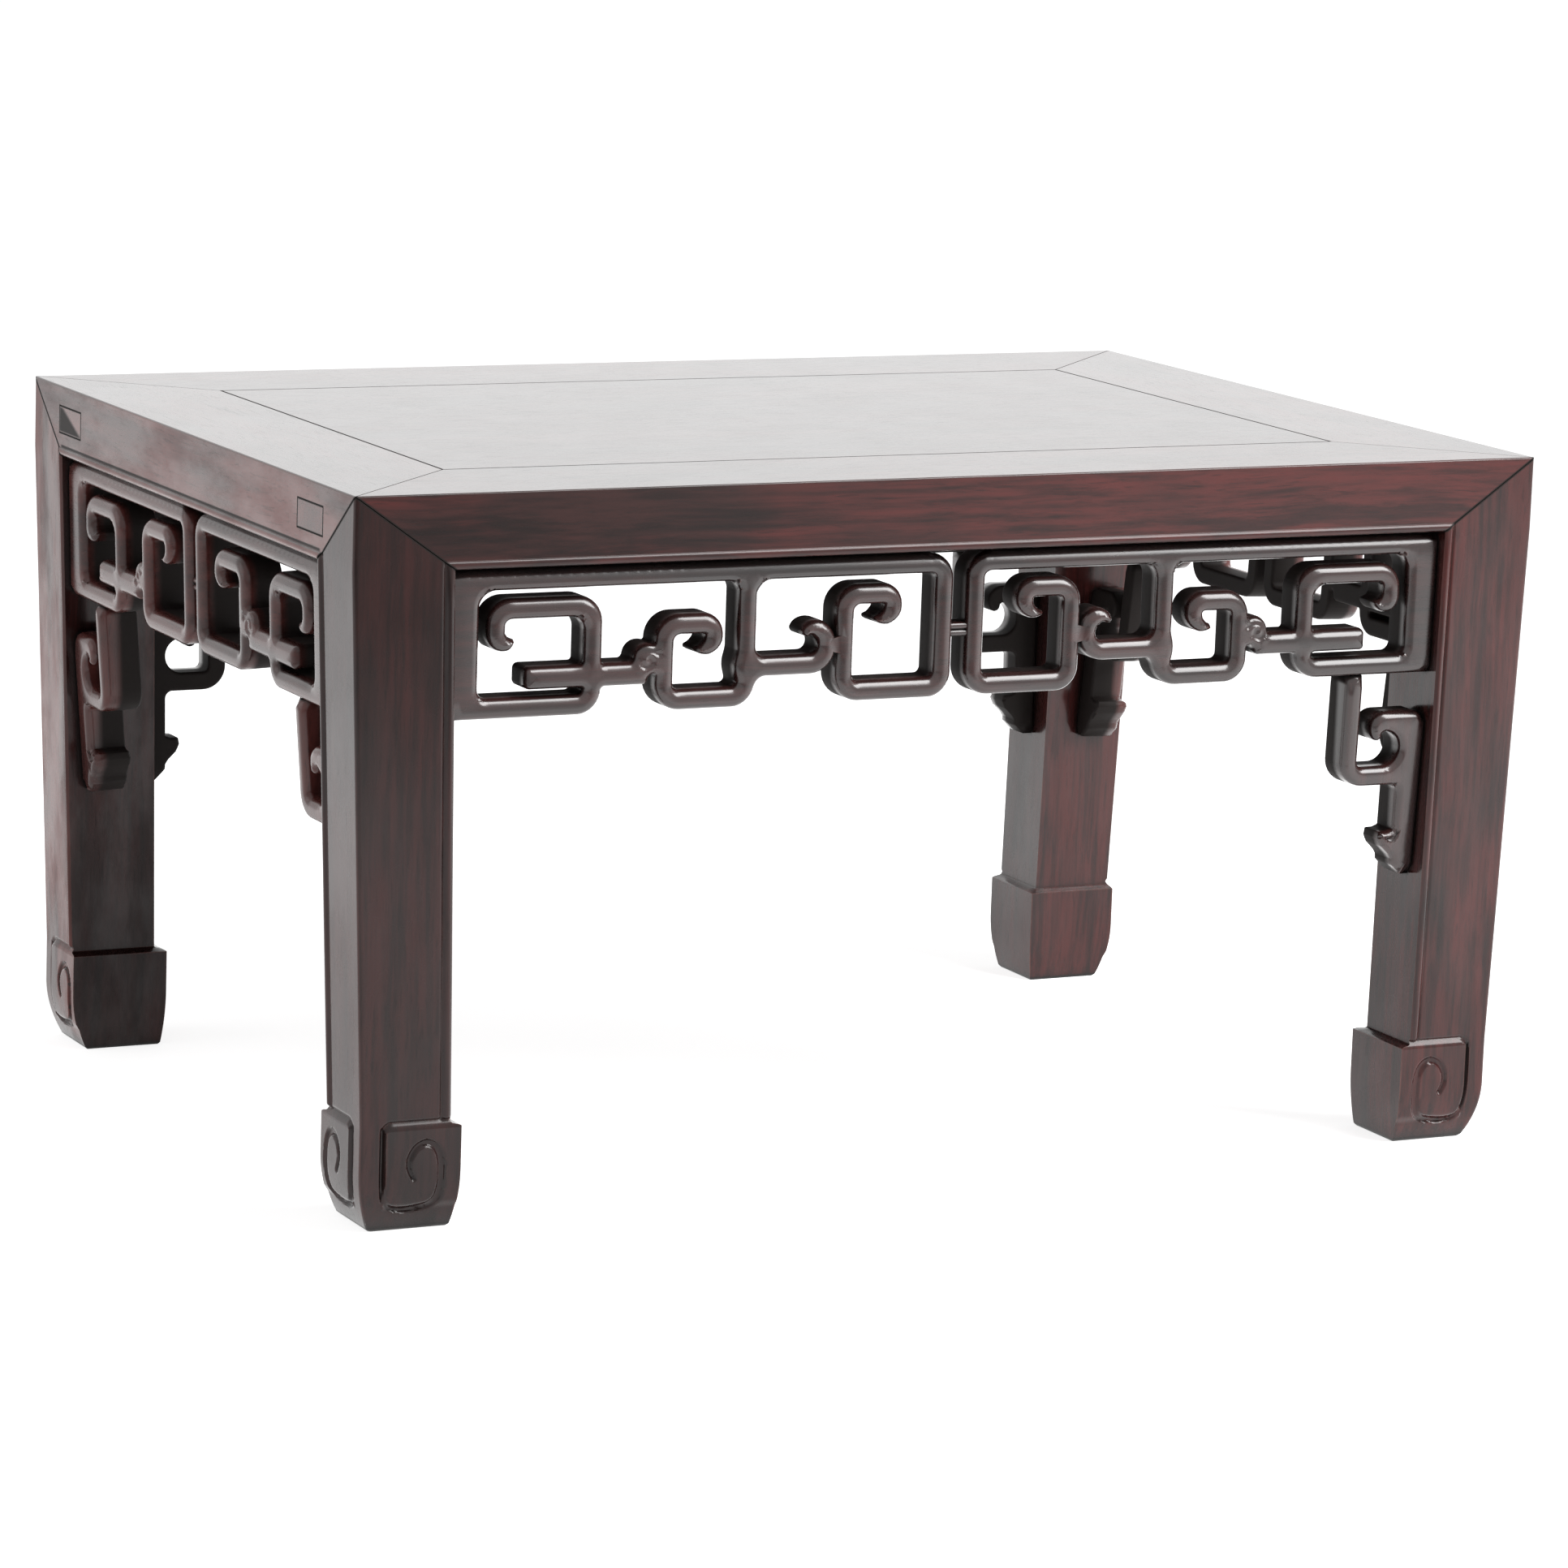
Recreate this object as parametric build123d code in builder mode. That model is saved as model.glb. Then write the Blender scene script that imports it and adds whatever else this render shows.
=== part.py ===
"""Low kang table: a mitred frame with a floating panel on four square hoof-footed legs,
with openwork scroll aprons under the frame and scroll brackets down the legs.

Frame of the model: +X along the length, -Y to the front, +Z up, origin on the floor at the centre.
On each face of the table a place is given as (across, drop): across to the right of the middle
as seen from outside, and down from the top.
"""

from build123d import *
from math import atan2, cos, sin
import os

os.makedirs("parts", exist_ok=True)

# ---------------------------------------------------------------- driving dimensions (mm)
# Overall size, over the faces of the frame
table_length = 554.0
table_depth = 386.0
table_height = 305.0

# Frame members
rail_width = 65.0
rail_height = 31.0
arris_radius = 0.8
bead_radius = 1.9
bead_proud = 1.0
bead_overhang = 0.2
mitre_gap = 0.3

# Through tenons of the long rails in the end rails
tenon_inset = 34.0
tenon_width = 28.0
tenon_drop = 9.0
tenon_thickness = 12.0
fit_gap = 0.2

# Floating panel and the two battens under it
panel_thickness = 11.0
panel_shrink = 0.5
tongue_drop = 3.5
tongue_thickness = 5.0
tongue_length = 6.0
batten_spacing = 170.0
batten_width = 26.0
batten_height = 16.0
key_depth = 3.0
key_narrow = 14.0
key_wide = 18.0
batten_tenon = 8.0

# Legs: their section under the frame and at the ankle, and how far the end faces lean in
leg_width = 44.0
leg_depth = 38.0
ankle_width = 39.5
ankle_depth = 36.5
lean = 8.5
leg_edge_radius = 1.5
stub_near = 8.0
stub_far = 19.0
stub_width = 10.0
stub_length = 11.0
stub_root = 4.0
stub_cover = 9.0

# Feet: they step out past the ankle on the inner sides and tuck in at the outer toes
foot_height = 45.0
foot_step = 4.5
foot_straight = 26.0
toe_tuck = 6.5
heel_tuck = 2.0
plaque_inset = 10.0
plaque_bottom = 12.0
plaque_proud = 0.9

# Openwork aprons: rows are measured down from the table's top, columns out from the middle
bar_width = 8.4
corner_radius = 6.8
fret_thickness = 16.0
fret_recess = 4.5
top_bar_height = 10.3
row_gap = 3.6
ring_row = 58.4
base_row = 77.5
fret_bottom = 94.0
centre_gap = 6.6
tie_row = 66.0
tie_height = 6.4
tie_setback = 2.5
tie_thickness = 9.0
curl_radius = 4.9
curl_turn = 200.0
tail_curl_radius = 4.2
tail_curl_turn = 90.0
tail_drop = 8.0
head_radius = 5.4
head_rise = 5.0
bar_stop = 17.0
bar_lap = 1.5
fret_tongue_length = 5.0
fret_tongue_thickness = 6.0
end_tongue_height = 40.0

# Front and back aprons: spacing of the upright bars, drawn in or out to fill the space at hand
ring_width = 46.0
ring_hook = 17.5
stem_spacing = 45.0
small_ring_width = 37.4
small_ring_hook = 17.5
small_curl_radius = 7.8
link_length = 32.4
hook_width = 43.1
hook_gap = 3.4
end_bar_width = 14.0

# End aprons: the same, without the stem and the small ring, so the head meets the centre ring
end_ring_width = 51.5
end_ring_hook = 24.0
end_link_length = 34.5
end_hook_width = 37.5
end_hook_gap = 4.3
end_end_bar_width = 15.5

# Brackets between the aprons and the legs
bracket_reach = 41.0
end_bracket_reach = 38.0
bracket_hook_row = 115.4
bracket_hook_gap = 4.5
bracket_curl_radius = 4.2
bracket_curl_turn = 90.0
bracket_ring_row = 139.5
bracket_bottom = 184.5
bracket_tail_width = 11.0
bracket_corner_cut = 5.0
nub_row = 170.5
nub_radius = 3.2
nub_reach = 3.5
bracket_tenon = 4.0
bracket_tenon_width = 5.0
pin_diameter = 4.0
pin_reach = 5.5
pin_upper_row = 128.0
pin_lower_row = 160.0

# ---------------------------------------------------------------- values worked out from them
half_length = table_length / 2
half_depth = table_depth / 2
rail_underside = table_height - rail_height
leg_run = rail_underside - foot_height
lean_angle = atan2(lean, leg_run)
half_bar = bar_width / 2
top_row = rail_height + top_bar_height - half_bar
hook_row = rail_height + top_bar_height + row_gap + half_bar
bottom_row = fret_bottom - half_bar
middle_depth = fret_recess + fret_thickness / 2
groove_depth = fret_tongue_length + fit_gap
corner = (-half_length, -half_depth)
batten_middles = (-batten_spacing / 2, batten_spacing / 2)
inwards = {"front": (0, 1, 0), "back": (0, -1, 0), "left": (1, 0, 0), "right": (-1, 0, 0)}
ends = {"front": {-1: "left", 1: "right"}, "back": {-1: "right", 1: "left"},
        "left": {-1: "back", 1: "front"}, "right": {-1: "front", 1: "back"}}
# Brackets by face and end; the front face has none at its left end
brackets = [(side, hand) for side in ends for hand in (-1, 1) if (side, hand) != ("front", -1)]


def is_long(side):
    return side in ("front", "back")


def leg_edge(side, drop):
    """Distance from the middle of a face to the inner side of its legs, at a drop below the top."""
    share = max(drop - rail_height, 0) / leg_run
    if is_long(side):
        return half_length - leg_width - (lean + ankle_width - leg_width) * share
    return half_depth - leg_depth - (ankle_depth - leg_depth) * share


def outer_face(side):
    """Plane of one face of the legs: across to the right as seen from outside, then down."""
    inward = Vector(*inwards[side])
    angle, distance = (0, half_depth) if is_long(side) else (lean_angle, half_length)
    across = inward.cross(Vector(0, 0, 1))
    down = inward * sin(angle) - Vector(0, 0, cos(angle))
    hinge = inward * -distance + Vector(0, 0, rail_underside)
    return Plane(origin=hinge - down * rail_height, x_dir=across, z_dir=across.cross(down))


def save(part, name):
    part.label = name
    export_step(part, f"parts/{name}.step")


def box_between(low, high, mode=Mode.ADD):
    """Box from its lowest to its highest corner."""
    size = [b - a for a, b in zip(low, high)]
    with Locations(tuple(low)):
        Box(*size, align=(Align.MIN, Align.MIN, Align.MIN), mode=mode)


def face_box(side, low, high, mode=Mode.ADD):
    """Box on one face of the table, between two corners given as (across, drop, depth)."""
    with Locations(outer_face(side)):
        box_between(low, high, mode)


def rod_between(start, end, radius, mode=Mode.ADD):
    """Round rod from one point to another."""
    axis = Vector(*end) - Vector(*start)
    with Locations(Plane(origin=start, z_dir=axis)):
        Cylinder(radius, axis.length, align=(Align.CENTER, Align.CENTER, Align.MIN), mode=mode)


# ---------------------------------------------------------------- joints that two pieces share
def mitre_with_leg(long_side):
    """Sloping plane between a rail and a leg, through the frame's top corner and facing up."""
    slope = (rail_height, 0, leg_width) if long_side else (0, rail_height, leg_depth)
    return Plane(origin=(*corner, table_height), x_dir=(0, 1, 0) if long_side else (1, 0, 0),
                 z_dir=slope)


def mitre_with_rail():
    """Upright plane between two rails, facing the end rail's side."""
    return Plane(origin=(*corner, 0), x_dir=(1, 1, 0), z_dir=(-1, 1, 0))


def stub(long_side, clearance, mode=Mode.ADD):
    """Stub tenon on a leg's top, in the long rail or in the end rail, or its mortise."""
    far, near = (stub_far, stub_far + stub_length), (stub_near, stub_near + stub_width)
    x_range, y_range = (far, near) if long_side else (near, far)
    low = (corner[0] + x_range[0], corner[1] + y_range[0], rail_underside + stub_root)
    high = (corner[0] + x_range[1], corner[1] + y_range[1], table_height - stub_cover)
    box_between([v - clearance for v in low], [v + clearance for v in high], mode)


def through_tenon(overrun, clearance, mode=Mode.ADD):
    """Tenon of a long rail, which shows as end grain in the end rail's outer face."""
    inner_end = tenon_inset + tenon_width
    low = (corner[0] - overrun, corner[1] + tenon_inset - clearance,
           table_height - tenon_drop - tenon_thickness - clearance)
    high = (corner[0] + inner_end, corner[1] + inner_end + clearance,
            table_height - tenon_drop + clearance)
    box_between(low, high, mode)


def panel_edge(clearance, mode=Mode.ADD):
    """Tongue round the panel's edge, or the groove for it in the frame."""
    reach = tongue_length + clearance - rail_width
    top = table_height - tongue_drop
    box_between((-half_length - reach, -half_depth - reach, top - tongue_thickness - clearance / 2),
                (half_length + reach, half_depth + reach, top + clearance / 2), mode)


def batten_tenons(middle, clearance, mode=Mode.ADD):
    """Stub tenons on a batten's ends, or their mortises in the long rails."""
    top = table_height - panel_thickness - key_depth
    bottom = table_height - panel_thickness - batten_height + key_depth
    reach = half_depth - rail_width + batten_tenon + clearance
    wide = key_narrow / 2 + clearance
    box_between((middle - wide, -reach, bottom - clearance),
                (middle + wide, reach, top + clearance), mode)


def dovetail_key(middle, clearance):
    """Section of the key along a batten's top, which slides in the panel's underside."""
    seat = table_height - panel_thickness
    with BuildSketch(Plane.XZ) as section:
        with BuildLine():
            Polyline((middle - key_narrow / 2, seat), (middle + key_narrow / 2, seat),
                     (middle + key_wide / 2, seat + key_depth),
                     (middle - key_wide / 2, seat + key_depth), close=True)
        make_face()
        if clearance:
            offset(amount=clearance, kind=Kind.INTERSECTION)
    return section.sketch


def apron_tongues(side, clearance, mode=Mode.ADD):
    """Tongues on an apron's top and ends, or their grooves in the rail and the legs."""
    half_thick = (fret_tongue_thickness + clearance) / 2
    near, far = middle_depth - half_thick, middle_depth + half_thick
    reach = leg_edge(side, rail_height) - fret_tongue_length + clearance
    face_box(side, (-reach, rail_height - fret_tongue_length - clearance, near),
             (reach, rail_height + top_bar_height / 2, far), mode)
    end_top = (rail_height + fret_bottom - end_tongue_height) / 2 - clearance
    end_bottom = (rail_height + fret_bottom + end_tongue_height) / 2 + clearance
    reach = leg_edge(side, end_bottom) + fret_tongue_length + clearance
    root = leg_edge(side, end_bottom) - fret_tongue_length
    for low, high in ((root, reach), (-reach, -root)):
        face_box(side, (low, end_top, near), (high, end_bottom, far), mode)


def bracket_post(side):
    """Distance from the middle of a face to the centreline of a bracket's outer bar."""
    reach = bracket_reach if is_long(side) else end_bracket_reach
    return leg_edge(side, fret_bottom) - reach + half_bar


def bracket_tenon_box(side, hand, clearance, mode=Mode.ADD):
    """Stub tenon of a bracket's outer bar in the apron above it, or its mortise."""
    middle = hand * bracket_post(side)
    half_wide = (bracket_tenon_width + clearance) / 2
    half_thick = (fret_tongue_thickness + clearance) / 2
    face_box(side, (middle - half_wide, fret_bottom - bracket_tenon - clearance,
                    middle_depth - half_thick),
             (middle + half_wide, fret_bottom + half_bar, middle_depth + half_thick), mode)


def bracket_pins(side, hand, clearance, mode=Mode.ADD):
    """Pins from a bracket's tail into its leg, or the holes for them."""
    for row in (pin_upper_row, pin_lower_row):
        edge, reach = leg_edge(side, row), pin_reach + clearance
        start = outer_face(side).from_local_coords((hand * (edge - reach), row, middle_depth))
        end = outer_face(side).from_local_coords((hand * (edge + reach), row, middle_depth))
        rod_between(start, end, (pin_diameter + clearance) / 2, mode)


# ---------------------------------------------------------------- frame
with BuildPart() as front_rail:
    box_between((*corner, rail_underside), (-corner[0], corner[1] + rail_width, table_height))
    arris = front_rail.edges().filter_by(Axis.X).group_by(Axis.Z)[-1].sort_by(Axis.Y)[0]
    fillet(arris, arris_radius)
    bead_y, bead_z = corner[1] + bead_radius - bead_proud, rail_underside + bead_radius - bead_overhang
    rod_between((corner[0], bead_y, bead_z), (-corner[0], bead_y, bead_z), bead_radius)
    apron_tongues("front", fit_gap, Mode.SUBTRACT)
    for middle in batten_middles:
        batten_tenons(middle, fit_gap, Mode.SUBTRACT)
    stub(True, fit_gap, Mode.SUBTRACT)
    panel_edge(fit_gap, Mode.SUBTRACT)
    split(bisect_by=mitre_with_rail().offset(-mitre_gap / 2), keep=Keep.BOTTOM)
    split(bisect_by=mitre_with_leg(True).offset(mitre_gap / 2), keep=Keep.TOP)
    through_tenon(0, 0)
    split(bisect_by=Plane.YZ, keep=Keep.BOTTOM)
    mirror(about=Plane.YZ)
save(front_rail.part, "front_rail")
save(mirror(front_rail.part, about=Plane.XZ), "back_rail")

with BuildPart() as left_rail:
    box_between((*corner, rail_underside), (corner[0] + rail_width, -corner[1], table_height))
    arris = left_rail.edges().filter_by(Axis.Y).group_by(Axis.Z)[-1].sort_by(Axis.X)[0]
    fillet(arris, arris_radius)
    bead_x, bead_z = corner[0] + bead_radius - bead_proud, rail_underside + bead_radius - bead_overhang
    rod_between((bead_x, corner[1], bead_z), (bead_x, -corner[1], bead_z), bead_radius)
    apron_tongues("left", fit_gap, Mode.SUBTRACT)
    stub(False, fit_gap, Mode.SUBTRACT)
    panel_edge(fit_gap, Mode.SUBTRACT)
    split(bisect_by=mitre_with_rail().offset(mitre_gap / 2), keep=Keep.TOP)
    split(bisect_by=mitre_with_leg(False).offset(mitre_gap / 2), keep=Keep.TOP)
    through_tenon(bead_proud + fit_gap, fit_gap, Mode.SUBTRACT)
    split(bisect_by=Plane.XZ, keep=Keep.TOP)
    mirror(about=Plane.XZ)
save(left_rail.part, "left_rail")
save(mirror(left_rail.part, about=Plane.YZ), "right_rail")

with BuildPart() as top_panel:
    inner_length = half_length - rail_width - panel_shrink
    inner_depth = half_depth - rail_width - panel_shrink
    box_between((-inner_length, -inner_depth, table_height - panel_thickness),
                (inner_length, inner_depth, table_height))
    panel_edge(-panel_shrink)
    for middle in batten_middles:
        extrude(dovetail_key(middle, fit_gap), amount=half_depth, both=True, mode=Mode.SUBTRACT)
save(top_panel.part, "top_panel")

for middle, hand in zip(batten_middles, ("left", "right")):
    with BuildPart() as batten:
        seat = table_height - panel_thickness
        reach = half_depth - rail_width - fit_gap
        box_between((middle - batten_width / 2, -reach, seat - batten_height),
                    (middle + batten_width / 2, reach, seat))
        lower_edges = batten.edges().filter_by(Axis.Y).group_by(Axis.Z)[0]
        chamfer(lower_edges, key_depth)
        extrude(dovetail_key(middle, 0), amount=inner_depth, both=True)
        batten_tenons(middle, 0)
    save(batten.part, f"{hand}_batten")


# ---------------------------------------------------------------- legs
def foot_section(plane, outer, inner, bottom=0):
    """Upright section of a foot between its outer and inner sides, with the toe tucked in."""
    with BuildSketch(plane) as section:
        with BuildLine():
            Polyline((outer, foot_straight), (outer, foot_height), (inner, foot_height),
                     (inner, foot_straight))
            TangentArc((inner, foot_straight), (inner - heel_tuck, 0), tangent=(0, -1))
            Line((inner - heel_tuck, 0), (outer + toe_tuck, 0))
            TangentArc((outer, foot_straight), (outer + toe_tuck, 0), tangent=(0, -1))
        make_face()
        with Locations((outer, bottom)):
            Rectangle(2 * (inner - outer), foot_height - bottom, align=(Align.CENTER, Align.MIN),
                      mode=Mode.INTERSECT)
    return section.sketch


def leg_section(height, outer, width, depth):
    """Level section of a leg, with the arris at its outer corner rounded."""
    with BuildSketch(Plane.XY.offset(height)) as section:
        with Locations(outer):
            Rectangle(width, depth, align=(Align.MIN, Align.MIN))
        fillet(section.vertices().sort_by_distance(outer)[0], leg_edge_radius)
    return section.sketch


foot_outer = (corner[0] + lean, corner[1])
foot_inner = (foot_outer[0] + ankle_width + foot_step, foot_outer[1] + ankle_depth + foot_step)
end_plane, long_plane = Plane.YZ.offset(foot_outer[0]), Plane.XZ.offset(-foot_outer[1])
foot_width, foot_depth = foot_inner[0] - foot_outer[0], foot_inner[1] - foot_outer[1]

with BuildPart() as front_plaque:
    extrude(foot_section(end_plane.offset(plaque_inset), foot_outer[1] - plaque_proud, foot_inner[1],
                         plaque_bottom), amount=foot_width - plaque_inset)
    extrude(foot_section(long_plane.offset(plaque_proud), foot_outer[0], foot_inner[0]),
            amount=-foot_depth, mode=Mode.INTERSECT)

with BuildPart() as end_plaque:
    extrude(foot_section(long_plane.offset(-plaque_inset), foot_outer[0] - plaque_proud,
                         foot_inner[0], plaque_bottom), amount=plaque_inset - foot_depth)
    extrude(foot_section(end_plane.offset(-plaque_proud), foot_outer[1], foot_inner[1]),
            amount=foot_width, mode=Mode.INTERSECT)

with BuildPart() as leg:
    extrude(foot_section(end_plane, foot_outer[1], foot_inner[1]), amount=foot_width)
    extrude(foot_section(long_plane, foot_outer[0], foot_inner[0]), amount=-foot_depth,
            mode=Mode.INTERSECT)
    add(front_plaque.part)
    add(end_plaque.part)
    upper_section = leg_section(rail_underside, corner, leg_width, leg_depth)
    loft((leg_section(foot_height, foot_outer, ankle_width, ankle_depth), upper_section), ruled=True)
    extrude(upper_section, amount=rail_height)
    bead_top = rail_underside + 2 * bead_radius
    bead_across, bead_deep = bead_radius - bead_overhang, bead_radius - bead_proud
    rod_between((corner[0] + leg_width - bead_across, corner[1] + bead_deep, bead_top),
                (foot_outer[0] + ankle_width - bead_across, foot_outer[1] + bead_deep, foot_height),
                bead_radius)
    rod_between((corner[0] + bead_deep, corner[1] + leg_depth - bead_across, bead_top),
                (foot_outer[0] + bead_deep, foot_outer[1] + ankle_depth - bead_across, foot_height),
                bead_radius)
    for long_side in (True, False):
        split(bisect_by=mitre_with_leg(long_side).offset(-mitre_gap / 2), keep=Keep.BOTTOM)
    for long_side in (True, False):
        stub(long_side, 0)
    for side in ("front", "left"):
        apron_tongues(side, fit_gap, Mode.SUBTRACT)

for depth_side, width_side in (("front", "left"), ("front", "right"), ("back", "left"), ("back", "right")):
    shape = leg.part
    if width_side == "right":
        shape = mirror(shape, about=Plane.YZ)
    if depth_side == "back":
        shape = mirror(shape, about=Plane.XZ)
    with BuildPart() as corner_leg:
        add(shape)
        for side, hand in brackets:
            if {side, ends[side][hand]} == {depth_side, width_side}:
                bracket_pins(side, hand, fit_gap, Mode.SUBTRACT)
    save(corner_leg.part, f"{depth_side}_{width_side}_leg")


# ---------------------------------------------------------------- aprons
def bar(*points, curl=0, radius=curl_radius):
    """Bar of the fret through some points with rounded corners, then a curl of some degrees."""
    with BuildLine() as path:
        run = FilletPolyline(*points, radius=corner_radius) if len(points) > 2 else Line(*points)
        if curl:
            run = JernArc(run @ 1, run % 1, radius, curl)
    trace(path.line, bar_width)
    if curl:
        with Locations(run @ 1):
            Circle(half_bar)


def half_fret(side):
    """Openwork of an apron's right-hand half, as a sketch on its front plane."""
    long_side = is_long(side)
    first = centre_gap / 2 + half_bar
    end_bar = leg_edge(side, rail_height) - (end_bar_width if long_side else end_end_bar_width)
    tail = end_bar - (hook_gap if long_side else end_hook_gap) - half_bar
    spacings = ((ring_width, stem_spacing, small_ring_width, link_length, hook_width) if long_side
                else (end_ring_width, end_link_length, end_hook_width))
    fill = (tail - first) / sum(spacings)
    columns = [first + fill * sum(spacings[:count]) for count in range(1, len(spacings))]
    ring, inner, link = columns[0], columns[-1], columns[-2]
    ring_curl = ring - (ring_hook if long_side else end_ring_hook)
    head = link + half_bar + head_radius - bar_lap
    with BuildSketch(outer_face(side).offset(fret_recess)) as fret:
        bar((end_bar + half_bar, top_row), (first, top_row), (first, bottom_row), (ring, bottom_row),
            (ring, hook_row), (ring_curl, hook_row), curl=-curl_turn)
        bar((end_bar + half_bar, bottom_row), (inner, bottom_row), (inner, hook_row),
            (tail, hook_row), (tail, hook_row + tail_drop), curl=tail_curl_turn, radius=tail_curl_radius)
        bar((head, base_row), (tail - bar_stop, base_row))
        with Locations((tail - bar_stop, base_row)):
            Circle(half_bar)
        with Locations((head, base_row - head_rise)):
            Circle(head_radius)
        if long_side:
            stem, small_ring = columns[1:3]
            bar((stem, top_row), (stem, bottom_row), (small_ring, bottom_row),
                (small_ring, ring_row), (small_ring - small_ring_hook, ring_row), curl=-curl_turn)
            bar((stem, base_row), (ring + bar_width + small_curl_radius - bar_lap / 2, base_row),
                curl=curl_turn, radius=small_curl_radius)
        edges = [leg_edge(side, drop) - fit_gap / 2 for drop in (rail_height, fret_bottom)]
        with BuildLine():
            Polyline((end_bar, rail_height), (edges[0], rail_height), (edges[1], fret_bottom),
                     (end_bar, fret_bottom), close=True)
        make_face()
        with BuildLine():
            Polyline((first + corner_radius, rail_height), (end_bar, rail_height),
                     (end_bar, top_row), (first + corner_radius, top_row), close=True)
        make_face()
    return fret.sketch


for side, opposite, mirror_plane in (("front", "back", Plane.XZ), ("left", "right", Plane.YZ)):
    with BuildPart() as fretwork:
        extrude(half_fret(side), amount=fret_thickness)
        mirror(about=Plane.YZ if is_long(side) else Plane.XZ)
        split(bisect_by=Plane.XY.offset(rail_underside), keep=Keep.BOTTOM)
        half_tie = centre_gap / 2 + half_bar
        tie_front = fret_recess + tie_setback
        face_box(side, (-half_tie, tie_row - tie_height / 2, tie_front),
                 (half_tie, tie_row + tie_height / 2, tie_front + tie_thickness))
        apron_tongues(side, 0)
    for name in (side, opposite):
        shape = fretwork.part if name == side else mirror(fretwork.part, about=mirror_plane)
        with BuildPart() as apron:
            add(shape)
            for bracket_side, hand in brackets:
                if bracket_side == name:
                    bracket_tenon_box(name, hand, fit_gap, Mode.SUBTRACT)
        save(apron.part, f"{name}_apron")


# ---------------------------------------------------------------- brackets
def bracket_section(side):
    """Openwork of the bracket at a face's right-hand end, as a sketch on its front plane."""
    post = bracket_post(side)
    tail = leg_edge(side, bracket_ring_row) - bracket_tail_width
    start = bracket_hook_row + corner_radius
    nearest = min(leg_edge(side, row) for row in (bracket_hook_row - half_bar, bracket_ring_row))
    bend = nearest - fit_gap / 2 - half_bar
    hook = post + bar_width + bracket_hook_gap + bracket_curl_radius
    edges = [leg_edge(side, drop) - fit_gap / 2 for drop in (start, bracket_bottom)]
    with BuildSketch(outer_face(side).offset(fret_recess)) as section:
        bar((post, fret_bottom), (post, bracket_ring_row), (tail + half_bar, bracket_ring_row))
        bar((bend, bracket_ring_row), (bend, bracket_hook_row), (hook, bracket_hook_row),
            curl=-bracket_curl_turn, radius=bracket_curl_radius)
        with BuildLine():
            Polyline((tail, start), (edges[0], start), (edges[1], bracket_bottom),
                     (tail + bracket_corner_cut, bracket_bottom),
                     (tail, bracket_bottom - bracket_corner_cut), close=True)
        make_face()
        with Locations((tail - nub_reach, nub_row)):
            Circle(nub_radius)
        with Locations((tail - nub_reach, nub_row)):
            Rectangle(2 * nub_reach, 2 * nub_radius, align=(Align.MIN, Align.CENTER))
    return section.sketch


for side, hand in brackets:
    shape = bracket_section(side)
    if hand < 0:
        shape = mirror(shape, about=Plane.YZ if is_long(side) else Plane.XZ)
    with BuildPart() as bracket:
        extrude(shape, amount=fret_thickness, dir=outer_face(side).z_dir)
        bracket_tenon_box(side, hand, 0)
        bracket_pins(side, hand, fit_gap, Mode.SUBTRACT)
    save(bracket.part, f"{side}_{ends[side][hand]}_bracket")

with BuildPart() as bracket_pin_set:
    for side, hand in brackets:
        bracket_pins(side, hand, 0)
save(bracket_pin_set.part, "bracket_pins")
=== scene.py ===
"""Looks of the kang table: carved aprons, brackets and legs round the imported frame, polished dark
hardwood on every piece, a pale studio and the camera.

Lengths are in millimetres and become metres as a mesh is made. +X runs along the table, -Y is its
front and +Z is up. A place on one face of the table is (across, drop, depth): across to the right of
the middle as seen from outside, down from the table's top, and inwards from the face of the legs.
Flat outlines are distance fields over (across, drop), which are below 0 in the wood.
"""

from functools import partialmethod
from math import atan2, cos, hypot, pi, radians, sin, tan
from types import SimpleNamespace

import bmesh
import bpy
import numpy as np
from mathutils import Matrix, Vector
from mathutils.geometry import delaunay_2d_cdt


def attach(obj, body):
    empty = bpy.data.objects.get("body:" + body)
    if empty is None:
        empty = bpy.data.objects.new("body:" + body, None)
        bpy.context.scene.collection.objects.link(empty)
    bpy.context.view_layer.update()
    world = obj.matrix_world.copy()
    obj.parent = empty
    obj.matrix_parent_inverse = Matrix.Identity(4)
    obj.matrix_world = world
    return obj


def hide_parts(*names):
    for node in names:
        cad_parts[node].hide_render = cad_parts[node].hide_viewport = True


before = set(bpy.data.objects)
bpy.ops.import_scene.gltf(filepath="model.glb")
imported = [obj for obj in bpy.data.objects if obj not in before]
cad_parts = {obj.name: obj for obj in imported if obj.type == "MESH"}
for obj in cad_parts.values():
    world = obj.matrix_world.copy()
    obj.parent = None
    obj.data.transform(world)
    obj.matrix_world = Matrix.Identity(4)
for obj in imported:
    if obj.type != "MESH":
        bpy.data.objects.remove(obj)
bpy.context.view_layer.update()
scene = bpy.context.scene

# ---------- sizes that the pieces share
MM = 0.001
TINY = 1e-12
table_length = 554.0
table_depth = 386.0
table_height = 305.0
rail_height = 31.0
rail_width = 65.0
leg_width, leg_depth = 44.0, 38.0
ankle_width, ankle_depth = 39.5, 36.5
lean = 8.5
foot_height = 45.0
foot_step = 4.5
bead_radius = 1.9
bead_proud = 1.0
mitre_gap = 0.3
tenon_middle, tenon_drop = 48.0, 15.0
tenon_half_width, tenon_half_height = 14.0, 6.0

bar_width = 8.4
corner_radius = 6.8
fret_thickness = 16.0
fret_recess = 4.5
end_fret_recess = 2.6
fit_gap = 0.2
top_bar_height = 10.3
row_gap = 3.6
ring_row = 58.4
base_row = 77.5
fret_bottom = 94.0
centre_gap = 6.6

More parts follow.
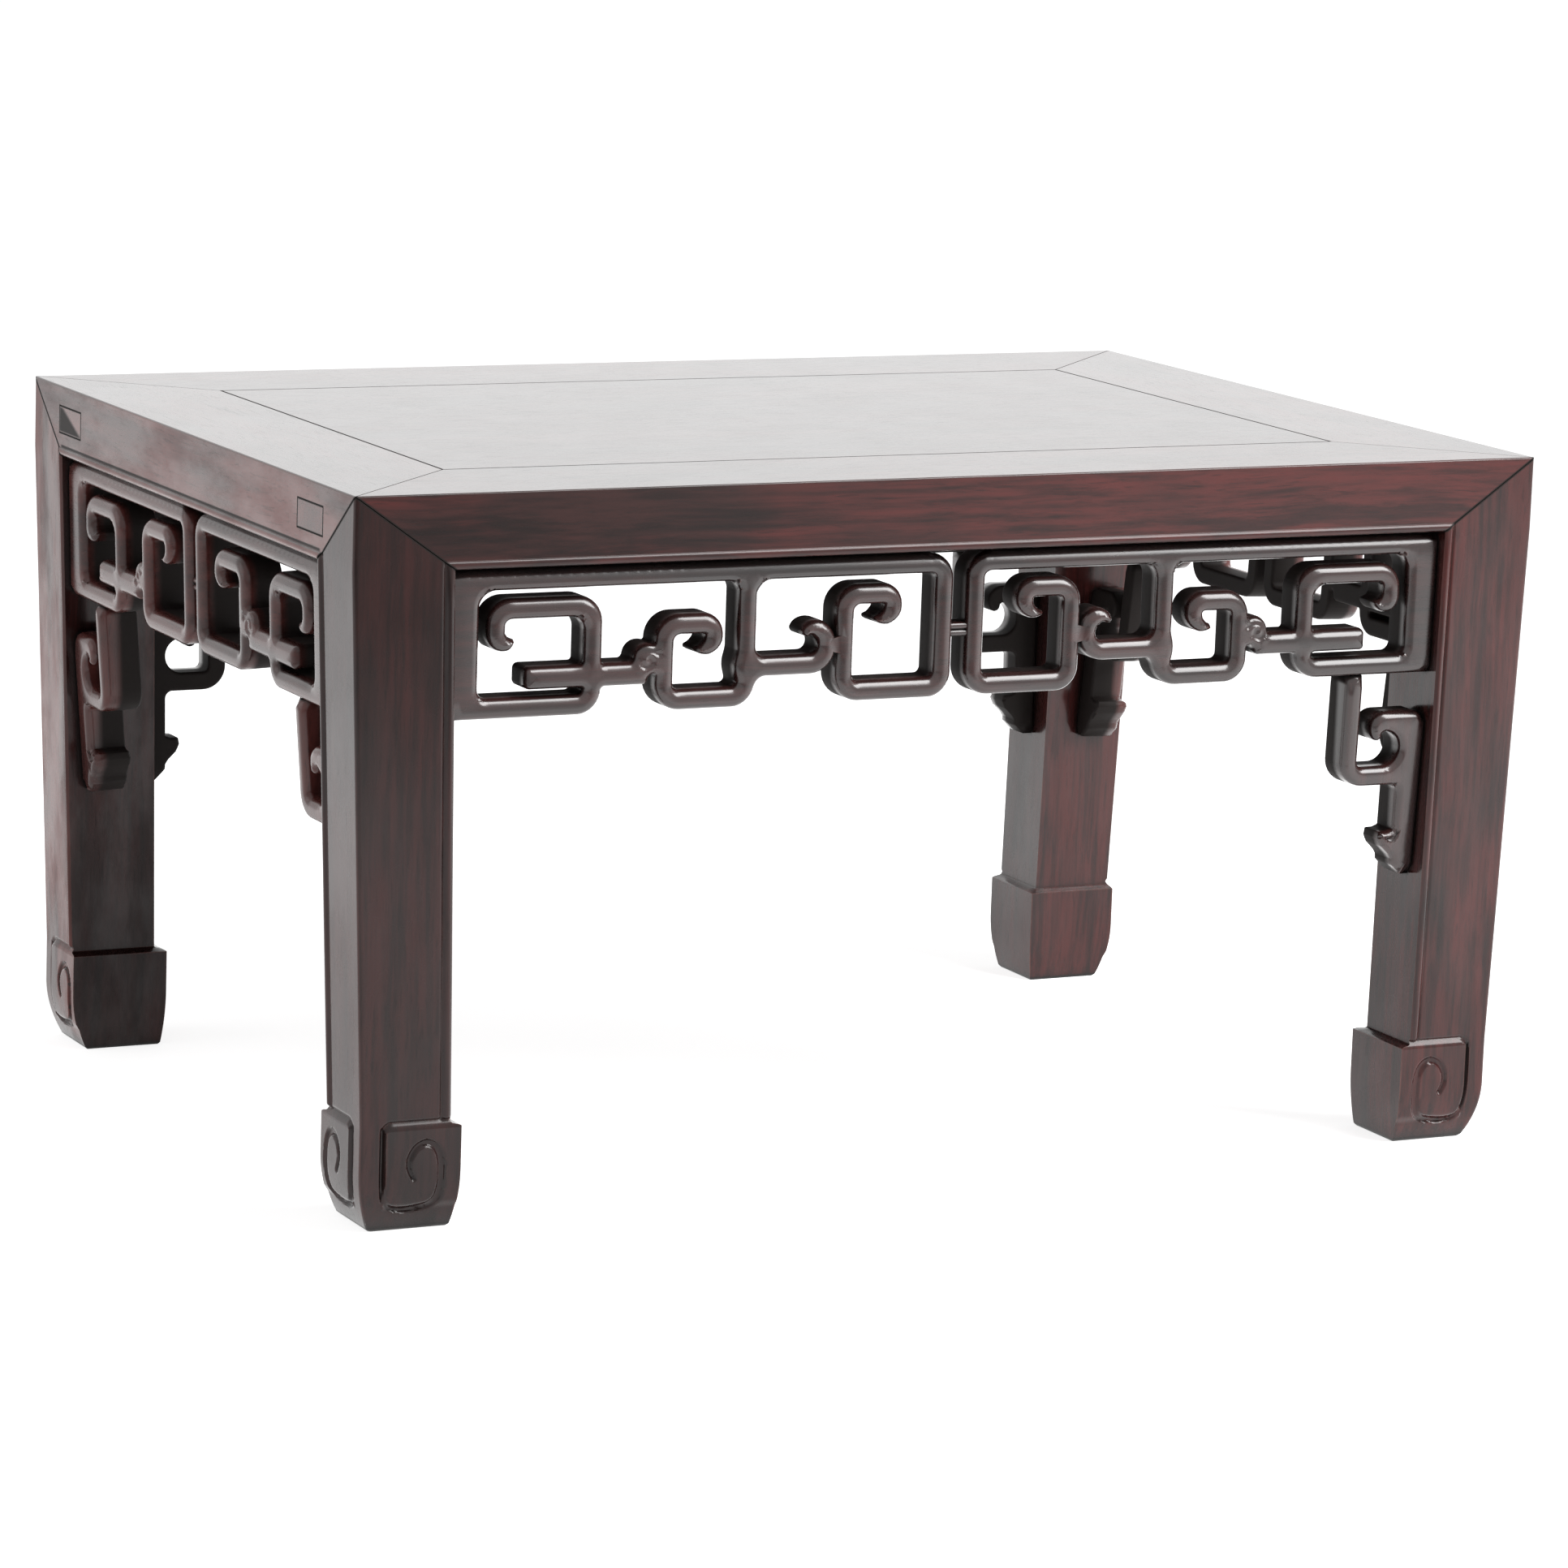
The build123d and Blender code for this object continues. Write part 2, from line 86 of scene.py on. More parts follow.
half_length, half_depth = table_length / 2, table_depth / 2
tenon_y, tenon_z = half_depth - tenon_middle, table_height - tenon_drop
rail_underside = table_height - rail_height
leg_run = rail_underside - foot_height
lean_angle = atan2(lean, leg_run)
half_bar = bar_width / 2
top_row = rail_height + top_bar_height - half_bar
hook_row = rail_height + top_bar_height + row_gap + half_bar
bottom_row = fret_bottom - half_bar

INWARDS = {"front": (0, 1, 0), "back": (0, -1, 0), "left": (1, 0, 0), "right": (-1, 0, 0)}
ENDS = {"front": {-1: "left", 1: "right"}, "back": {-1: "right", 1: "left"},
        "left": {-1: "back", 1: "front"}, "right": {-1: "front", 1: "back"}}


def is_long(side):
    return side in ("front", "back")


def recess(side):
    """How far the openwork's front lies behind the legs' faces."""
    return fret_recess if is_long(side) else end_fret_recess


def leg_edge(side, drop):
    """Distance from the middle of a face to the inner side of its legs, at a drop below the top."""
    share = max(drop - rail_height, 0) / leg_run
    if is_long(side):
        return half_length - leg_width - (lean + ankle_width - leg_width) * share
    return half_depth - leg_depth - (ankle_depth - leg_depth) * share


def fitted_edge(side, drop):
    """Distance from the middle of a face to where openwork ends, just short of the leg."""
    return leg_edge(side, drop) - fit_gap / 2


def gap_to_leg(side, places):
    """How far places lie from where the openwork ends, at the right-hand leg."""
    top, bottom = (fitted_edge(side, drop) for drop in (rail_height, rail_height + leg_run))
    return top + (bottom - top) * np.maximum(places[:, 1] - rail_height, 0) / leg_run - places[:, 0]


def on_face(side, places):
    """Points of the row frame at some (across, drop, depth) places of a face."""
    inward = np.array(INWARDS[side], float)
    angle, distance = (0, half_depth) if is_long(side) else (lean_angle, half_length)
    across = np.cross(inward, (0, 0, 1))
    down = inward * sin(angle) - np.array((0, 0, cos(angle)))
    origin = inward * -distance + np.array((0, 0, rail_underside)) - down * rail_height
    return origin + np.asarray(places, float) @ np.array((across, down, np.cross(across, down)))


# ---------- making objects
def add_object(name, mesh, material):
    """A piece of the table from a finished mesh, riding on the one body."""
    mesh.materials.append(material)
    piece = bpy.data.objects.new(name, mesh)
    scene.collection.objects.link(piece)
    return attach(piece, "root")


def start_mesh(name, points, faces, merge):
    """A mesh in metres from points in millimetres, and its bmesh with near points merged."""
    mesh = bpy.data.meshes.new(name)
    mesh.from_pydata((np.asarray(points) * MM).tolist(), [], faces)
    work = bmesh.new()
    work.from_mesh(mesh)
    bmesh.ops.remove_doubles(work, verts=work.verts, dist=merge * MM)
    return mesh, work


def finish_mesh(mesh, work, sharp_angle):
    """The mesh from its bmesh, with its normals outwards and only its sharp edges hard."""
    bmesh.ops.recalc_face_normals(work, faces=work.faces)
    work.to_mesh(mesh)
    work.free()
    mesh.shade_smooth()
    mesh.set_sharp_from_angle(angle=radians(sharp_angle))
    return mesh


def board_mesh(name, points, faces):
    """Closed mesh of a carved board."""
    mesh, work = start_mesh(name, points, faces, merge=0.002)
    bmesh.ops.dissolve_degenerate(work, edges=work.edges, dist=0.001 * MM)
    return finish_mesh(mesh, work, sharp_angle=38)


# ---------- lines, outlines and roundings
CORNER_POINTS = 9
CURL_STEPS = 20


def rounded_path(*corners, radius=corner_radius):
    """Points along a bar's centreline, with its corners rounded."""
    corners = [np.array(corner, float) for corner in corners]
    points = [corners[0]]
    for before, here, after in zip(corners, corners[1:], corners[2:]):
        into = (here - before) / np.linalg.norm(here - before)
        out = (after - here) / np.linalg.norm(after - here)
        turn = atan2(into[0] * out[1] - into[1] * out[0], into @ out)
        start = here - into * radius * tan(abs(turn) / 2)
        normal = np.array((-into[1], into[0])) * np.sign(turn)
        for share in np.linspace(0, 1, CORNER_POINTS):
            angle = abs(turn) * share
            points.append(start + radius * (into * sin(angle) + normal * (1 - cos(angle))))
    points.append(corners[-1])
    return points


def smooth_points(points, rounds=3):
    """A chosen line with its corners cut until it runs smoothly."""
    points = np.array(points, float)
    for _ in range(rounds):
        near, far = points[:-1] * 0.75 + points[1:] * 0.25, points[:-1] * 0.25 + points[1:] * 0.75
        points = np.concatenate((points[:1], np.stack((near, far), 1).reshape(-1, 2), points[-1:]))
    return points


def spread(values, shares):
    """Values of a list that is spread evenly from share 0 to share 1."""
    return np.interp(shares, np.linspace(0, 1, len(values)), values)


def spiral(start, heading, turn, radii):
    """Points of a curl whose radius changes; its angles are in degrees."""
    point, angle = np.array(start, float), radians(heading)
    step = radians(turn) / CURL_STEPS
    points = [point]
    for radius in spread(radii, (np.arange(CURL_STEPS) + 0.5) / CURL_STEPS):
        middle = angle + step / 2
        point = point + radius * abs(step) * np.array((cos(middle), sin(middle)))
        angle += step
        points.append(point)
    return points


def from_run(places, start, run):
    """Distance from places to a straight run, and the nearest point's share of the way along it."""
    share = np.clip((places - start) @ run / (run @ run), 0, 1)
    return np.linalg.norm(places - start - share[:, None] * run, axis=1), share


def stroke(places, path, widths=(half_bar, half_bar)):
    """Distance from places to a bar along a path, whose half width may change."""
    path = np.array(path, float)
    lengths = np.concatenate(([0], np.cumsum(np.linalg.norm(np.diff(path, axis=0), axis=1))))
    half = spread(widths, lengths / lengths[-1])
    best = np.full(len(places), np.inf)
    for a, b, wide, next_wide in zip(path, path[1:], half, half[1:]):
        if (b - a) @ (b - a) > TINY:
            gap, share = from_run(places, a, b - a)
            best = np.minimum(best, gap - wide - (next_wide - wide) * share)
    return best


def curl(places, start, heading, turn, radii, widths):
    """Distance to a curl that goes on from a bar's end."""
    return stroke(places, spiral(start, heading, turn, radii), widths)


def curled_bar(places, corners, *end):
    """Distance to a bar round some corners that ends in a curl."""
    return union(stroke(places, rounded_path(*corners)), curl(places, corners[-1], *end))


def polygon(places, corners):
    """Distance from places to a flat shape with straight sides."""
    corners = np.array(corners, float)
    best = np.full(len(places), np.inf)
    inside = np.zeros(len(places), bool)
    for a, b in zip(corners, np.roll(corners, -1, axis=0)):
        run = b - a
        best = np.minimum(best, from_run(places, a, run)[0])
        if a[1] != b[1]:
            straddles = (a[1] > places[:, 1]) != (b[1] > places[:, 1])
            inside ^= straddles & (places[:, 0] < a[0] + run[0] * (places[:, 1] - a[1]) / run[1])
    return np.where(inside, -best, best)


def rounded_box(places, low, high, radius):
    """Distance from places to a rectangle with rounded corners."""
    middle, half = (np.array(low) + high) / 2, (np.array(high) - low) / 2 - radius
    out = np.abs(places - middle) - half
    return np.linalg.norm(np.maximum(out, 0), axis=1) + np.minimum(out.max(axis=1), 0) - radius


def union(*fields):
    return np.minimum.reduce(fields)


def joined(one, other, fillet):
    """Union of two distance fields, with round inner corners where their edges cross."""
    both = np.hypot(np.maximum(fillet - one, 0), np.maximum(fillet - other, 0))
    return np.maximum(fillet, np.minimum(one, other)) - both


def corner_fill(places, corner, toward, radius, lap=1.0):
    """Distance to what fills a square corner up to its rounding, which opens toward (+-1, +-1)."""
    away = (places - corner) * toward
    square = np.maximum(away.max(axis=1) - radius, -away.min(axis=1) - lap)
    return np.maximum(square, radius - np.linalg.norm(away - radius, axis=1))


def smooth_step(values):
    """0 at 0 and below, 1 at 1 and above, and smooth between."""
    values = np.clip(values, 0, 1)
    return values * values * (3 - 2 * values)


def rounding(radius, distance):
    """How far a rounded edge has dropped, at a distance from its side."""
    short = np.clip(radius - distance, 0, radius)
    return radius - np.sqrt(radius * radius - short * short)


def gradient(field, places, reach=0.04):
    """Slope of a field at some places."""
    steps = np.array(((reach, 0), (0, reach)))
    return np.stack([field(places + s) - field(places - s) for s in steps], -1) / (2 * reach)


def dense_places(middle, columns, rows, step, shift=0.0):
    """Places for the mesh in a small grid, whose every other row is shifted."""
    return [middle + np.array((i * step[0] + j % 2 * shift, j * step[1]))
            for i in columns for j in rows]


# ---------- carved boards from an outline
GRID_STEP = 0.5
outline_margin = 2
OUTLINE_ROUNDS = 3
LEAST_SLOPE = 0.2
ROW_ANGLES = (16, 32, 48, 62, 76, 90)
row_break = 6.0
triangle_merge = 1e-4
places_at_once = 2000
apron_round, bracket_round = 3.9, 3.4
small_round = 1.2
upper_extra, lower_less = 0.4, 1.3
top_edge_round, top_edge_depth = 8.0, 5.0
free_gap = 0.25


def walked_cells(value, across, down):
    """Which cell edge follows which along a grid's 0 line, and where the line crosses each."""
    inside = value < 0
    corners = inside[:-1, :-1] + 0 + inside[1:, :-1] + inside[:-1, 1:] + inside[1:, 1:]
    following, position = {}, {}
    for i, j in np.argwhere(corners % 4).tolist():
        cell = ((i, j), (i + 1, j), (i + 1, j + 1), (i, j + 1))
        edges = ((i, j, 0), (i + 1, j, 1), (i, j + 1, 0), (i, j, 1))
        flags = [inside[corner] for corner in cell]
        for k in range(4):
            if flags[k] and not flags[(k + 1) % 4]:
                leave = next((k + n) % 4 for n in range(1, 4)
                             if not flags[(k + n) % 4] and flags[(k + n + 1) % 4])
                following[edges[k]] = edges[leave]
            if flags[k] != flags[(k + 1) % 4]:
                a, b = cell[k], cell[(k + 1) % 4]
                share = value[a] / (value[a] - value[b])
                position[edges[k]] = (across[a[0]] + (across[b[0]] - across[a[0]]) * share,
                                      down[a[1]] + (down[b[1]] - down[a[1]]) * share)
    return following, position


def outline_loops(field, low, high):
    """Closed loops where a field is 0, walked round a grid's cells and then drawn onto it."""
    across, down = (np.arange(low[k] - outline_margin, high[k] + outline_margin + GRID_STEP, GRID_STEP)
                    for k in (0, 1))
    places = np.stack(np.meshgrid(across, down, indexing="ij"), -1).reshape(-1, 2)
    following, position = walked_cells(field(places).reshape(len(across), len(down)), across, down)
    loops = []
    while following:
        start, here = following.popitem()
        loop = [position[start]]
        while here != start:
            loop.append(position[here])
            here = following.pop(here)
        loop = np.array(loop)
        for _ in range(OUTLINE_ROUNDS):
            slope = gradient(field, loop)
            squared = np.maximum((slope ** 2).sum(axis=1), LEAST_SLOPE)
            loop = loop - slope * (field(loop) / squared)[:, None]
        loops.append(thinned(loop))
    return loops


def thinned(loop, tolerance=0.012, longest=5.0, most=24):
    """A loop without the points that its straight stretches don't need."""
    kept, count = [0], len(loop)
    while kept[-1] < count:
        first = kept[-1]
        last = first + 1
        for try_last in range(first + 2, min(first + most, count) + 1):
            chord = loop[try_last % count] - loop[first]
            length = hypot(*chord)
            between = loop[first + 1:try_last] - loop[first]
            off = np.abs(between[:, 0] * chord[1] - between[:, 1] * chord[0]) / max(length, 1e-9)
            if length > longest or off.max() > tolerance:
                break
            last = try_last
        kept.append(last)
    return loop[[k for k in kept if k < count]]


def depth_inside(places, loops, wanted=None):
    """Distance from places to the nearest side of some loops, maybe only of the wanted sides."""
    starts = np.concatenate(loops)
    ends = np.concatenate([np.roll(loop, -1, axis=0) for loop in loops])
    if wanted:
        kept = wanted(starts) | wanted(ends)
        starts, ends = starts[kept], ends[kept]
    run = ends - starts
    squared = np.maximum((run ** 2).sum(axis=1), TINY)
    best = np.empty(len(places))
    for first in range(0, len(places), places_at_once):
        some = places[first:first + places_at_once, None] - starts
        share = np.clip((some * run).sum(axis=2) / squared, 0, 1)
        nearest = np.linalg.norm(some - share[..., None] * run, axis=2).min(axis=1)
        best[first:first + places_at_once] = nearest
    return best


def edge_rows(field, loops, front_round):
    """Points and edges of an outline, then those of rows further in, which follow its rounding."""
    points, edges = [], []
    for loop in loops:
        base = len(points)
        points += loop.tolist()
        edges += [(base + k, base + (k + 1) % len(loop)) for k in range(len(loop))]
    rim = list(edges)
    for angle in ROW_ANGLES:
        offset = front_round * (1 - cos(radians(angle)))
        for loop in loops:
            slope = gradient(field, loop)
            slope /= np.maximum(np.linalg.norm(slope, axis=1), 1e-6)[:, None]
            row = loop - slope * offset
            index = {}
            for k in np.flatnonzero(depth_inside(row, loops) > offset * 0.97).tolist():
                index[k] = len(points)
                points.append(row[k].tolist())
            for k in index:
                after = (k + 1) % len(loop)
                if after in index and hypot(*(row[after] - row[k])) < row_break:
                    edges.append((index[k], index[after]))
    return points, edges, rim


def triangulated(field, points, edges):
    """Places of a flat mesh, its triangles in the wood, and the place that each point became."""
    flat, _, triangles, origins, _, _ = delaunay_2d_cdt([Vector(p) for p in points], edges, [], 0,
                                                        triangle_merge)
    flat = np.array([tuple(p) for p in flat])
    triangles = np.array([tuple(t) for t in triangles])
    triangles = triangles[field(flat[triangles].mean(axis=1)) < 0]
    return flat, triangles, {origin: k for k, group in enumerate(origins) for origin in group}


def front_drop(side, field, flat, loops, front_round):
    """How far the rounded front lies behind its plane: most where an edge faces up, or the rail.

    Edges fitted against a leg stay nearly square.
    """
    free = depth_inside(flat, loops, lambda ends: gap_to_leg(side, ends) > free_gap)
    outwards = gradient(field, flat)
    downwards = outwards[:, 1] / np.maximum(np.linalg.norm(outwards, axis=1), 1e-6)
    radius = front_round - np.where(downwards < 0, upper_extra, lower_less) * downwards
    by_leg = rounding(small_round, np.maximum(gap_to_leg(side, flat), 0))
    under_rail = np.minimum(rounding(top_edge_round, flat[:, 1] - rail_height), top_edge_depth)
    return np.maximum(np.maximum(rounding(radius, free), by_leg), under_rail)


def carved_board(side, field, low, high, front_round, relief, extra):
    """Board with a flat outline: rounded over to the front, a little at the back, and carved.

    Gives its places as (across, drop, depth) and its faces. Rows of points run along the rounded
    edges, so that they are round in the mesh itself.
    """
    loops = outline_loops(field, low, high)
    points, edges, rim = edge_rows(field, loops, front_round)
    points += [tuple(place) for place in extra]
    flat, triangles, found = triangulated(field, points, edges)
    depth = depth_inside(flat, loops)
    depth[np.isin(np.arange(len(flat)), [found[k] for edge in rim for k in edge])] = 0
    front = recess(side) + front_drop(side, field, flat, loops, front_round)
    front = front + relief(flat) * np.clip(depth / front_round, 0, 1)
    back = fret_recess + fret_thickness - rounding(small_round, depth)
    count = len(flat)
    places = np.concatenate((np.column_stack((flat, front)), np.column_stack((flat, back))))
    faces = triangles.tolist() + (triangles[:, ::-1] + count).tolist()
    for a, b in rim:
        a, b = found[a], found[b]
        if a != b:
            faces.append([b, a, a + count, b + count])
    return places, faces


def mirrored(places, faces):
    """The same shape on the other side of the middle."""
    return places * (-1, 1, 1), [face[::-1] for face in faces]


def together(*shapes):
    """Several shapes as one."""
    places, faces, base = [], [], 0
    for some_places, some_faces in shapes:
        places.append(np.asarray(some_places, float))
        faces += [[k + base for k in face] for face in some_faces]
        base += len(some_places)
    return np.concatenate(places), faces


# ---------- aprons
RINGS = {True: dict(ring_width=46.0, stem_spacing=45.0, small_ring_width=37.4, link_length=32.4,
                    hook_width=43.1, ring_hook=17.5, small_ring_hook=17.5, hook_gap=3.4,
                    end_bar_width=14.0),
         False: dict(ring_width=51.5, link_length=34.5, hook_width=37.5, ring_hook=24.0, hook_gap=4.3,
                     end_bar_width=15.5)}
small_curl_radius, small_curl_lap = 7.8, 0.4
# how bars end in curls: heading and turn in degrees, radii and half widths
ring_end = (180, -188, (4.9, 4.9, 5.2, 6.6, 7.4), (half_bar, half_bar, 4.1, 3.0, 1.1))
small_end = (180, 232, (*[small_curl_radius] * 3, 5.4, 3.0), (half_bar, half_bar, half_bar, 3.8, 2.0))
tail_end = (90, 128, (4.6, 4.6, 4.6, 5.0), (half_bar, 4.1, 2.9, 0.7))
tail_drop = 9.7
head_radius, head_reach, head_rise = 6.5, 3.2, 5.2
bar_stop = 17.0
link_deeper, link_round = 1.0, 2.4
crossing_round, head_round, bar_round = 1.5, 2.0, 4.5
post_rounds, stem_rounds, hook_round = (7.0, 4.0), (6.5, 5.0), 6.0
strip_lap = 2.0
swirl_line = ((-4.6, -2.8), (-1.2, -4.4), (2.6, -3.2), (3.6, 0.4), (1.2, 2.6), (-1.4, 1.2),
              (-0.6, -0.8))
swirl_offset, swirl_widths, swirl_depth, swirl_fade = 0.6, (0.1, 0.3, 0.5), 0.65, 1.9


class Fret:
    """Columns and carving of an apron's right-hand half."""

    def __init__(self, side):
        self.side, self.long = side, is_long(side)
        sizes = RINGS[self.long]
        self.first = centre_gap / 2 + half_bar
        self.end_bar = leg_edge(side, rail_height) - sizes["end_bar_width"]
        self.tail = self.end_bar - sizes["hook_gap"] - half_bar
        names = "ring_width", "stem_spacing", "small_ring_width", "link_length", "hook_width"
        spacings = np.array([sizes[name] for name in names if name in sizes])
        fill = (self.tail - self.first) / spacings.sum()
        columns = self.first + fill * np.cumsum(spacings)[:-1]
        self.ring, self.inner, self.link = columns[0], columns[-1], columns[-2]
        self.stem, self.small_ring = columns[1:3] if self.long else (None, None)
        self.ring_curl = self.ring - sizes["ring_hook"]
        self.head = self.link + half_bar + head_reach
        self.swirl_middle = np.array((self.head, base_row - head_rise)) + swirl_offset
        self.swirl = smooth_points([self.swirl_middle + place for place in swirl_line])

    def ring_field(self, places):
        """The ring at the middle: down, along the bottom, up, over and into a curl."""
        corners = ((self.end_bar + half_bar, top_row), (self.first, top_row), (self.first, bottom_row),
                   (self.ring, bottom_row), (self.ring, hook_row), (self.ring_curl, hook_row))
        return curled_bar(places, corners, *ring_end)

    def hook_field(self, places):
        """The hook by the leg, with the curled tail that hangs from it."""
        corners = ((self.end_bar + half_bar, bottom_row), (self.inner, bottom_row),
                   (self.inner, hook_row), (self.tail, hook_row), (self.tail, hook_row + tail_drop))
        inside = (self.inner + half_bar, hook_row + half_bar)
        return union(curled_bar(places, corners, *tail_end),
                     corner_fill(places, inside, (1, 1), hook_round))

    def end_field(self, places):
        """The wide bar at the leg, with its rounded inner corners, and the bar under the rail."""
        top, bottom = (fitted_edge(self.side, drop) for drop in (rail_height, fret_bottom))
        end = polygon(places, ((self.end_bar, rail_height), (top, rail_height), (bottom, fret_bottom),
                               (self.end_bar, fret_bottom)))
        start, stop = self.first + corner_radius, self.end_bar + strip_lap
        strip = polygon(places, ((start, rail_height), (stop, rail_height), (stop, top_row),
                                 (start, top_row)))
        upper, lower = (self.end_bar, top_row + half_bar), (self.end_bar, bottom_row - half_bar)
        return union(strip, end, corner_fill(places, upper, (-1, 1), post_rounds[0]),
                     corner_fill(places, lower, (-1, -1), post_rounds[1]))

    def small_ring_field(self, places):
        """The long aprons' stem and small ring, which ends in a curl."""
        hook = self.small_ring - RINGS[True]["small_ring_hook"]
        corners = ((self.stem, top_row), (self.stem, bottom_row), (self.small_ring, bottom_row),
                   (self.small_ring, ring_row), (hook, ring_row))
        under = top_row + half_bar
        rounds = [corner_fill(places, (self.stem + hand * half_bar, under), (hand, 1), radius)
                  for hand, radius in zip((-1, 1), stem_rounds)]
        return union(curled_bar(places, corners, *ring_end), *rounds)

    def field(self, places):
        """Distance to the openwork, below 0 in the wood."""
        stop = (self.tail - bar_stop + half_bar, base_row + half_bar + link_deeper)
        link = rounded_box(places, (self.head, base_row - half_bar), stop, link_round)
        head = np.linalg.norm(places - (self.head, base_row - head_rise), axis=1) - head_radius
        total = union(self.ring_field(places), self.end_field(places),
                      joined(self.hook_field(places), link, crossing_round))
        link = joined(link, head, head_round)
        if not self.long:
            return joined(total, link, crossing_round)
        small = joined(self.small_ring_field(places), link, crossing_round)
        turn = self.ring + bar_width + small_curl_radius - small_curl_lap
        bar = curled_bar(places, ((self.stem, base_row), (turn, base_row)), *small_end)
        return union(total, joined(small, bar, bar_round))

    def relief(self, places):
        """Depth of the groove that curls round the head into its eye."""
        return swirl_depth * (1 - smooth_step(stroke(places, self.swirl, swirl_widths) / swirl_fade))

    def extra_places(self):
        """More points for the mesh: round the carving, and along the wide round of the top bar."""
        return dense_places(self.swirl_middle, range(-14, 13), range(-14, 11), (0.45, 0.42), 0.22) + [
            np.array((across, rail_height + drop))
            for across in np.arange(self.first + corner_radius, self.end_bar + 8, 2.5)
            for drop in (1.2, 1.9, 2.7, 3.5, 4.5, 5.5, 6.6)]


tie_row, tie_height = 66.0, 6.0
tie_setback, tie_thickness = 2.2, 9.0
tie_fit, tie_flat, tie_points = 0.98, 0.9, 7


def tie_shape(side):
    """The small tie between an apron's two halves, carved as two rounded bands."""
    half, band = centre_gap / 2 + half_bar, tie_height / 4
    front = recess(side) + tie_setback
    section = [(middle + band * cos(a) * tie_fit, front + band * (1 - sin(a)) * tie_flat)
               for middle in (tie_row - band, tie_row + band) for a in np.linspace(pi, 0, tie_points)]
    section += [(tie_row + tie_height / 2, front + tie_thickness),
                (tie_row - tie_height / 2, front + tie_thickness)]
    count = len(section)
    places = [(across, *point) for across in (-half, half) for point in section]
    faces = [[k, (k + 1) % count, (k + 1) % count + count, k + count] for k in range(count)]
    return places, faces + [list(range(count))[::-1], list(range(count, 2 * count))]


def make_apron(side, material):
    fret = Fret(side)
    low, high = (fret.first - half_bar, rail_height), (leg_edge(side, rail_height), fret_bottom)
    half = carved_board(side, fret.field, low, high, apron_round, fret.relief, fret.extra_places())
    places, faces = together(half, mirrored(*half), tie_shape(side))
    points = on_face(side, places)
    points[:, 2] = np.minimum(points[:, 2], rail_underside)
    mesh = board_mesh(f"{side}_apron_carving", points, faces)
    apron = add_object(f"{side}_apron_carving", mesh, material)
    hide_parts(f"{side}_apron")


# ---------- brackets
bracket_reach = {True: 41.0, False: 38.0}
bracket_hook_row = 115.4
bracket_ring_row = 139.5
bracket_bottom = 184.5
bracket_tail_width = 11.0
bracket_corner_cut = 5.0
hook_clear = 4.5
bracket_curl_radius = 4.0
bracket_end = (180, -104, (bracket_curl_radius, bracket_curl_radius, 5.0), (half_bar, 4.0, 2.8))
bracket_top_round, bracket_ring_round = 5.0, 3.5
bracket_sink = 4.0
nub_row, nub_round = 170.0, 0.5
nub_outline = ((1.0, -5.8), (-2.4, -4.4), (-5.8, -4.3), (-6.3, -2.0), (-5.0, 1.2), (-1.0, 5.0),
               (1.0, 8.0))
nick_line = ((0.6, -7.2), (1.0, -4.6), (0.0, -2.2), (-2.2, -1.4), (-3.4, -2.2))
nick_widths, nick_depth = (0.2, 0.7, 0.2), 1.4


def bracket_field(side):
    """Distance field of the bracket at a face's right-hand end, and where its post and tail are."""
    post = leg_edge(side, fret_bottom) - bracket_reach[is_long(side)] + half_bar
    tail = leg_edge(side, bracket_ring_row) - bracket_tail_width
    middle = (bracket_hook_row + bracket_ring_row) / 2
    hollow_radius = (bracket_ring_row - bracket_hook_row) / 2 - half_bar
    eye = tail - hollow_radius
    hook = post + bar_width + hook_clear + bracket_curl_radius
    top, under = bracket_hook_row - half_bar, bracket_ring_row + half_bar
    top_edge, bottom_edge = (fitted_edge(side, drop) for drop in (top, bracket_bottom))

    def ring_field(places):
        outer = stroke(places, rounded_path((post, fret_bottom + half_bar), (post, bracket_ring_row),
                                            (eye, bracket_ring_row)))
        left, right, seat_end = post - half_bar, post + half_bar, fret_bottom + half_bar
        seat = polygon(places, ((left, fret_bottom), (right, fret_bottom), (right, seat_end),
                                (left, seat_end)))
        return union(outer, seat, curl(places, (hook, bracket_hook_row), *bracket_end),
                     corner_fill(places, (tail, under), (-1, 1), bracket_ring_round))

    def field(places):
        shank = polygon(places, ((min(eye, hook), top), (top_edge, top), (bottom_edge, bracket_bottom),
                                 (tail + bracket_corner_cut, bracket_bottom),
                                 (tail, bracket_bottom - bracket_corner_cut), (tail, under),
                                 (eye, under)))
        hollow = stroke(places, [(eye - 2 * hollow_radius, middle), (eye, middle)],
                        (hollow_radius, hollow_radius))
        cut = corner_fill(places, (top_edge, top), (-1, 1), bracket_top_round)
        shank = np.maximum(np.maximum(shank, -hollow), -cut)
        nub = polygon(places, [(tail + right, nub_row + down) for right, down in nub_outline])
        return union(ring_field(places), shank, nub - nub_round)

    return field, post, tail


def make_bracket(side, hand, material):
    field, post, tail = bracket_field(side)
    nick = smooth_points([(tail + right, nub_row + down) for right, down in nick_line])
    places, faces = carved_board(
        side, field, (post - half_bar, fret_bottom), (leg_edge(side, fret_bottom), bracket_bottom),
        bracket_round, lambda places: nick_depth * (1 - smooth_step(stroke(places, nick, nick_widths))),
        dense_places(np.array((tail - 1.0, nub_row - 4.0)), range(-7, 8), range(-8, 9), (0.6, 0.6)))
    places[:, 2] += bracket_sink * (places[:, 1] - fret_bottom) / (bracket_bottom - fret_bottom)
    if hand < 0:
        places, faces = mirrored(places, faces)
    name = f"{side}_{ENDS[side][hand]}_bracket"
    bracket = add_object(name + "_carving", board_mesh(name, on_face(side, places), faces), material)
    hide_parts(name)


